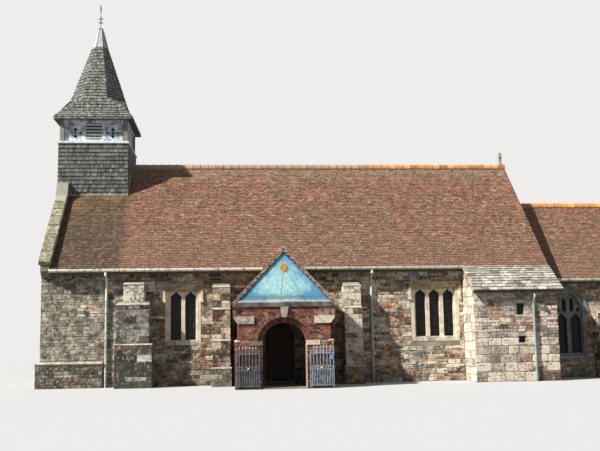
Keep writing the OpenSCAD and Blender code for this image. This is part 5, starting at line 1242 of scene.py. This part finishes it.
for node, copy_name, finish, slot in (("porch_roof_west", "porch_boards_west", verge_mortar, "porch_tiles"),
                                      ("porch_roof_east", "porch_boards_east", verge_mortar, "porch_tiles"),
                                      ("ridge_tiles", "ridge_mortar", ridge_bedding, "ridge_clay")):
    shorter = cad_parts[node].data.copy()
    merge_triangles(shorter)
    for corner in shorter.vertices:
        corner.co.y = PORCH_VERGE_Y if corner.co.y < CAD_VERGE_Y + 0.01 else corner.co.y
    shorter.materials.clear()
    shorter.materials.append(finish)
    shortened = bpy.data.objects.new(copy_name, shorter)
    bpy.context.scene.collection.objects.link(shortened)
    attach(shortened, "root")
    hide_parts(node)
porch_tiles = Courses(95)
PORCH_EAVES_X, PORCH_EAVES_Z, PORCH_PITCH = 1.80, 2.94, math.atan(1.0611)
PORCH_COS, PORCH_SIN = math.cos(PORCH_PITCH), math.sin(PORCH_PITCH)


def porch_run(side):
    """A course from the verge to the nave's wall, or to the nave's slope above the nave's eaves."""
    def at(low, high):
        z = PORCH_EAVES_Z + low * PORCH_SIN
        end = NAVE_S - 0.02 if z < 4.12 else EAVES_Y + max(0.0, (z - NAVE_EAVES) / NAVE_SLOPE)
        return (PORCH_VERGE_Y - 0.01, end) if side > 0 else (-end, 0.01 - PORCH_VERGE_Y)
    return at


for side in (-1, 1):
    slope = plane((side * PORCH_EAVES_X, 0, PORCH_EAVES_Z), (0, side, 0), (-side * PORCH_COS, 0, PORCH_SIN))
    porch_tiles.fill(slope, -0.03, PORCH_EAVES_X / PORCH_COS, porch_run(side), **TILE)
lay("tiles_porch", porch_tiles, plain_tile, porch_tile, "porch_tiles", seed=95, **TILE_BED)
dabs = Courses(96)
DAB_LONG, DAB_FOOT, DAB_TOP = 0.048, -0.042, -0.008
for side in (-1, 1):
    origin, along, up, out = plane((side * PORCH_EAVES_X, PORCH_VERGE_Y + 0.002, PORCH_EAVES_Z),
                                   (-side * PORCH_COS, 0, PORCH_SIN), (side * PORCH_SIN, 0, PORCH_COS))
    for i in range(25):
        start = 0.02 + 0.1 * i + dabs.random.uniform(-0.01, 0.01)
        left, right = sorted((-side * start, -side * (start + DAB_LONG)))
        dabs.add((origin, -side * along, up, -side * out), left, right, DAB_FOOT, DAB_TOP,
                 dabs.random.uniform(0.008, 0.016))
lay("verge_bedding", dabs, square_block, ridge_bedding, "porch_tiles", joint=0.0, wobble=0.10, rough=0.012,
    grain=14)


# Porch gates
# Wrought iron leaves under old pale blue paint, chalky on the edges and rusty where it has flaked, with a
# cast rosette on the middle rail and whitened spear heads.
gate = Finish("gate_paint")
flake = gate.noise(48, 4)
chalk = gate.noise(9, 5)
colour = gate.ramp(chalk, [
    (0.30, (0.14, 0.20, 0.30)), (0.46, (0.34, 0.43, 0.55)), (0.62, (0.62, 0.69, 0.76))])
# Painted shade: the west leaf's paint is darker than the east leaf's.
colour = gate.shade(colour, gate.rise(gate.axis("X"), -0.1, 0.1), 0.40, 0.92)
colour = gate.blend(gate.rise(flake, 0.62, 0.68) * 0.8, colour, (0.11, 0.060, 0.042))
heads = gate.rise(gate.axis("Z"), 1.375, 1.385)
colour = gate.blend(heads * 0.8, colour, (0.72, 0.74, 0.78))
case = gate.rise(gate.axis("X"), 1.48, 1.49) * gate.rise(gate.axis("Z"), 0.97, 0.98) * (
    1 - gate.rise(gate.axis("Z"), 1.13, 1.14))
colour = gate.blend(case * 0.8, colour, (0.16, 0.34, 0.66))
gate_paint = gate.close(colour, gate.rise(flake, 0.5, 0.7) * 0.3 + 0.5, flake, 0.0008)
dress(gate_paint, "gate_west", "gate_east")


def petal_ring(size, level):
    """Sixteen points round a petalled outline, each second one drawn in."""
    turns = [(math.pi * i / 8, 0.5 * size * (1.0 if i % 2 else 0.84)) for i in range(16)]
    return [(math.cos(turn) * reach, 0.5 + math.sin(turn) * reach, level) for turn, reach in turns]


rosette = shape("rosette", petal_ring(1, 0) + petal_ring(1, 0.45) + petal_ring(0.45, 1),
                ring_faces(0, 16, 16) + ring_faces(16, 32, 16) + [tuple(range(16)), tuple(range(32, 48))])
rosette_paint = one_noise_finish(
    "rosette_paint", 30, 5, (0.35, (0.50, 0.52, 0.55)), (0.6, (0.86, 0.86, 0.86)), 0.5, 0.001)
ROSETTE_X, ROSETTE_Z, ROSETTE_HALF, LEAF_FRONT, LEAF_BACK = 1.255, 0.691, 0.036, -0.086, -0.064
for name, x, body in (("gate_rosette_west", -ROSETTE_X, "gate_west_leaf"),
                      ("gate_rosette_east", ROSETTE_X, "gate_east_leaf")):
    bosses = Courses(98)
    for face, middle in ((south(LEAF_FRONT), x), (north(LEAF_BACK), -x)):
        bosses.add(face, middle - ROSETTE_HALF, middle + ROSETTE_HALF,
                   ROSETTE_Z - ROSETTE_HALF, ROSETTE_Z + ROSETTE_HALF, 0.018)
    lay(name, bosses, rosette, rosette_paint, "gate_paint", body=body, joint=0)


# Inner door
# Vertical oak boards, nearly black with age, on two iron strap hinges, with rows of forged nail heads.
door = Finish("door_oak")
grain = door.noise(30, 4, stretch=(1, 1, 0.08))
gap = 1 - door.rise(abs(door.axis("X") % 0.18 - 0.09), 0.0, 0.006)
colour = door.ramp(grain, [(0.3, (0.018, 0.012, 0.009)), (0.7, (0.060, 0.040, 0.026))])
colour = door.blend(gap, colour, (0.006, 0.005, 0.004))
dress(door.close(colour, 0.7, grain - gap, 0.003), "nave_door")
nail_head = shape("nail_head", [(-0.5, 0, 0), (0.5, 0, 0), (0.5, 1, 0), (-0.5, 1, 0), (0, 0.5, 1)],
                  [(0, 1, 4), (1, 2, 4), (2, 3, 4), (3, 0, 4)])
DOOR_FRONT, NAIL_HALF = 3.07, 0.014
nails = Courses(97)
for z in (0.36, 0.51, 1.15, 1.71):
    for x in np.arange(-0.50, 0.51, 0.09):
        nails.add(south(DOOR_FRONT), x - NAIL_HALF, x + NAIL_HALF, z - NAIL_HALF, z + NAIL_HALF, 0.009)
lay("door_nails", nails, nail_head, dark_iron, "dark_iron", body="inner_door", joint=0)


# Floors
# Worn flagstones in the nave, the chancel and the porch, laid in broken courses.
flag = Finish("flagstone")
FLAG_LONG, FLAG_WIDE = 0.8, 0.55
course = flag.axis("Y") / FLAG_WIDE
edge_x = abs((flag.axis("X") / FLAG_LONG + flag.maths("FLOOR", course) * 0.37) % 1.0 - 0.5)
edge_y = abs(course % 1.0 - 0.5)
seam = flag.rise(edge_x, 0.488, 0.496)
seam = seam + flag.rise(edge_y, 0.482, 0.494) * (1 - seam)
worn = flag.noise(3, 5)
colour = flag.ramp(worn, [(0.3, (0.16, 0.145, 0.12)), (0.7, (0.34, 0.315, 0.26))])
colour = flag.blend(seam, flag.shade(colour, flag.noise(40, 4), 0.75, 1.2), (0.06, 0.055, 0.045))
dress(flag.close(colour, 0.7, worn - seam, 0.004), "nave_floor", "chancel_floor", "porch_floor")


# Windows
# Dressed yellow limestone round the nave's lights, darker grey stone for the chancel's tracery, and small
# leaded panes behind iron saddle bars and stanchions. The stair bay's two openings have plain lintels and
# sills.
def window_stone_finish(name, dark, light, stain, browned, washed):
    """Dressed stone with rust-brown weather stains over the lights, between the two heights of browned, painted
    grey above them as the shade under the eaves, and a grey bloom on the sill, below the height of washed."""
    stone = Finish(name)
    pore, cloud = stone.noise(34, 5), stone.noise(5, 5)
    colour = stone.blend(stone.rise(cloud, 0.3, 0.7), dark, light)
    colour = stone.shade(colour, pore, 0.76, 1.18)
    colour = stone.blend(stone.rise(stone.noise(4.3, 6, move=(1, 6, 2)), 0.53, 0.66) * 0.4, colour, stain)
    height = stone.axis("Z") + (cloud - 0.5) * 0.16
    low, high = browned
    over = stone.rise(height, low, low + 0.06) * (1 - stone.rise(height, high, high + 0.04))
    rusty = stone.ramp(cloud, [(0.4, (0.20, 0.105, 0.045)), (0.6, (0.50, 0.36, 0.15))])
    colour = stone.blend(over * 0.72, colour, rusty)
    # Painted shade under the eaves: the stone above the upper height of browned is painted grey.
    hood_shade = stone.rise(stone.axis("Z"), high + 0.01, high + 0.02)
    colour = stone.blend(hood_shade * 0.8, colour, (0.30, 0.295, 0.235))
    under = 1 - stone.rise(stone.axis("Z"), washed, washed + 0.02)
    sill = stone.ramp(cloud, [(0.35, (0.22, 0.22, 0.215)), (0.6, (0.66, 0.62, 0.54))])
    colour = stone.blend(under * 0.8, colour, sill)
    return stone.close(colour, 0.85, pore, 0.003)


dress(window_stone_finish("nave_window_stone", (0.60, 0.525, 0.40), (0.84, 0.77, 0.62), (0.46, 0.34, 0.21),
                          (3.46, 3.72), 1.69), "nave_window_frames")
dress(window_stone_finish("chancel_window_stone", (0.17, 0.175, 0.165), (0.30, 0.31, 0.295), (0.09, 0.09, 0.08),
                          (8.0, 9.0), 0.80), "chancel_window_frames")
pane = Finish("leaded_glass")
along, height = pane.axis("X") + pane.axis("Y"), pane.axis("Z")
PANE, PANE_STEEP = 0.13, 1.25
first, second = (along * PANE_STEEP + height) / PANE, (along * PANE_STEEP - height) / PANE
came = 1 - pane.rise(abs(first % 1.0 - 0.5), 0.03, 0.06) * pane.rise(abs(second % 1.0 - 0.5), 0.03, 0.06)
cell = (pane.maths("FLOOR", first) * 0.37 + pane.maths("FLOOR", second) * 0.61) % 1.0
colour = pane.ramp(cell, [
    (0, (0.004, 0.005, 0.009)), (0.5, (0.009, 0.010, 0.014)), (1, (0.022, 0.020, 0.020))])
colour = pane.blend(came, colour, (0.018, 0.019, 0.021))
dress(pane.close(colour, pane.rise(came, 0.2, 0.8) * 0.4 + 0.22, cell * 0.6 + came, 0.003,
                 Specular_IOR_Level=0.2), "window_glass")

bars = Courses(101)
BAR_IN = 0.17
# A light's width, sill and head in the nave, in the chancel's sides and in its east window
NAVE_LIGHT, SIDE_LIGHT, EAST_LIGHT = (LIGHT, 1.70, 3.52), (0.43, 0.95, 2.50), (0.43, 1.50, 3.05)


def bar_lights(axis, depth, middle, lights, width, sill, top):
    """Saddle bars across and a stanchion up each light of a window, at a depth along the axis that its
    wall faces."""
    def spot(u, z):
        return (u, depth, z) if axis == "y" else (depth, u, z)

    for i in range(lights):
        centre = middle + (i - (lights - 1) / 2) * (width + MULLION)
        for level in np.arange(sill + 0.22, top - 0.12, 0.27):
            bars.line([spot(centre - width / 2 - 0.02, level), spot(centre + width / 2 + 0.02, level)],
                      (0, 0, 1), 0.014, 0.014)
        across = (1, 0, 0) if axis == "y" else (0, 1, 0)
        bars.line([spot(centre, sill - 0.01), spot(centre, top - 0.03)], across, 0.012, 0.012)


for y in (NAVE_S + BAR_IN, NAVE_N - BAR_IN):
    bar_lights("y", y, TWO_LIGHT, 2, *NAVE_LIGHT)
    bar_lights("y", y, THREE_LIGHT, 3, *NAVE_LIGHT)
for y in (CHANCEL_S + BAR_IN, CHANCEL_N - BAR_IN):
    for x in CHANCEL_BAYS:
        bar_lights("y", y, x, 2, *SIDE_LIGHT)
bar_lights("x", NAVE_W + BAR_IN, RIDGE_Y, 2, *NAVE_LIGHT)
bar_lights("x", CHANCEL_E - BAR_IN, RIDGE_Y, 3, *EAST_LIGHT)
bar_iron = one_noise_finish(
    "bar_iron", 50, 4, (0.4, (0.010, 0.010, 0.011)), (0.65, (0.034, 0.024, 0.018)), 0.7, 0.001)
lay("window_bars", bars, rod, bar_iron, "dark_iron", joint=0)
slits = Courses(102)
for left, right, low, high in ((8.66, 9.04, 2.34, 2.44), (8.62, 9.08, 2.86, 3.0), (8.69, 9.05, 1.34, 1.41),
                               (8.69, 9.05, 1.65, 1.72)):
    slits.add(south(BAY_S), left, right, low, high, 0.018)
lay("bay_slit_stones", slits, square_block, weathering_stone, "rubble_stone", joint=0.006, rough=0.012,
    grain=8)


# Rainwater goods
# Cast half-round gutters in cream paint, jointed every 0.9 m, and round pipes whose paint has weathered
# grey-green below.
cast = Finish("gutter_paint")
grime = cast.noise(7, 6)
colour = cast.ramp(grime, [
    (0.34, (0.36, 0.345, 0.31)), (0.46, (0.72, 0.68, 0.61)), (0.66, (0.84, 0.81, 0.76))])
low = 1 - cast.rise(cast.axis("Z") + grime, 3.4, 4.3)
pipe_paint = cast.ramp(grime, [(0.35, (0.19, 0.26, 0.26)), (0.65, (0.40, 0.50, 0.49))])
colour = cast.blend(low * 0.8, colour, pipe_paint)
colour = cast.shade(colour, cast.rise(cast.axis("X"), -6.0, 9.0), 1.28, 0.86)
GUTTER_LONG = 0.915
seam = 1 - cast.rise(abs(cast.axis("X") % GUTTER_LONG - 0.457), 0.008, 0.016)
colour = cast.blend(seam * (1 - low) * 0.7, colour, (0.16, 0.145, 0.12))
dress(cast.close(colour, 0.55, grime, 0.001), "gutters", "downpipes")


# Stage
# A pale floor, an even sky and one sun lamp high on the left, where the sun stands in the photograph: its
# direction comes from the shadows of the turret on the roof and of the porch on the buttress beside it.
FLOOR_REACH = 300
FLOOR_LIT, FLOOR_SEEN = (0.18, 0.18, 0.17), (0.521, 0.531, 0.556)
SKY_LIT, SKY_SEEN, SKY_STRENGTH = (0.78, 0.88, 1.0), (0.86, 0.85, 0.835), 0.27
floor_data = bpy.data.meshes.new("studio_floor")
corners = [(-FLOOR_REACH, -FLOOR_REACH, 0), (FLOOR_REACH, -FLOOR_REACH, 0),
           (FLOOR_REACH, FLOOR_REACH, 0), (-FLOOR_REACH, FLOOR_REACH, 0)]
floor_data.from_pydata(corners, [], [(0, 1, 2, 3)])
studio_floor = bpy.data.objects.new("studio_floor", floor_data)
bpy.context.scene.collection.objects.link(studio_floor)


def seen_directly(tree):
    """1 on rays from the camera, a mirror or glass, 0 on rays that only carry light."""
    camera, glossy, through = [tree.node("ShaderNodeLightPath", output=kind)
                               for kind in ("Is Camera Ray", "Is Glossy Ray", "Is Transmission Ray")]
    return tree.maths("MAXIMUM", camera, tree.maths("MAXIMUM", glossy, through))


pale_floor = Finish("studio_floor")
floor_data.materials.append(pale_floor.close(
    pale_floor.blend(seen_directly(pale_floor), FLOOR_LIT, FLOOR_SEEN), 1.0, Specular_IOR_Level=0.0))

world = bpy.data.worlds.new("studio")
world.use_nodes = True
bpy.context.scene.world = world
sky = Nodes(world.node_tree)
seen = seen_directly(sky)
background = world.node_tree.nodes["Background"]
sky_colour = sky.node("ShaderNodeMix", {"data_type": "RGBA"}, {0: seen, 6: SKY_LIT, 7: SKY_SEEN}, 2)
sky.join(sky_colour, background.inputs["Color"])
sky.join(seen * (1 - SKY_STRENGTH) + SKY_STRENGTH, background.inputs["Strength"])

SUN_WAY = (2.14, 1.0, -2.05)
lamp = bpy.data.lights.new("studio_key", "SUN")
lamp.energy, lamp.angle, lamp.color = 6.8, math.radians(1.5), (1.0, 0.95, 0.86)
key = bpy.data.objects.new("studio_key", lamp)
bpy.context.scene.collection.objects.link(key)
key.rotation_mode = "QUATERNION"
key.rotation_quaternion = Vector(SUN_WAY).to_track_quat("-Z", "Y")

# The camera that the photograph's lines fit: focal length and picture width in its pixels, place and turns
FOCAL_LENGTH, PHOTO_WIDTH, SENSOR = 840.56, 600, 36.0
CAMERA_AT, YAW, PITCH, ROLL = (-1.80, -29.072, 1.801), 0.082, 0.13, -0.016
view_data = bpy.data.cameras.new("view")
view_data.sensor_width, view_data.lens = SENSOR, SENSOR * FOCAL_LENGTH / PHOTO_WIDTH
view_data.clip_start, view_data.clip_end = 0.1, 1000
view = bpy.data.objects.new("view", view_data)
bpy.context.scene.collection.objects.link(view)
forward = Vector((math.sin(YAW) * math.cos(PITCH), math.cos(YAW) * math.cos(PITCH), math.sin(PITCH)))
right = Vector((math.cos(YAW), -math.sin(YAW), 0))
above = right.cross(forward)
level_right = right * math.cos(ROLL) + above * math.sin(ROLL)
level_up = above * math.cos(ROLL) - right * math.sin(ROLL)
view.matrix_world = Matrix.Translation(CAMERA_AT) @ Matrix(
    (level_right, level_up, -forward)).transposed().to_4x4()
bpy.context.scene.camera = view
bpy.context.scene.view_settings.view_transform = "Standard"
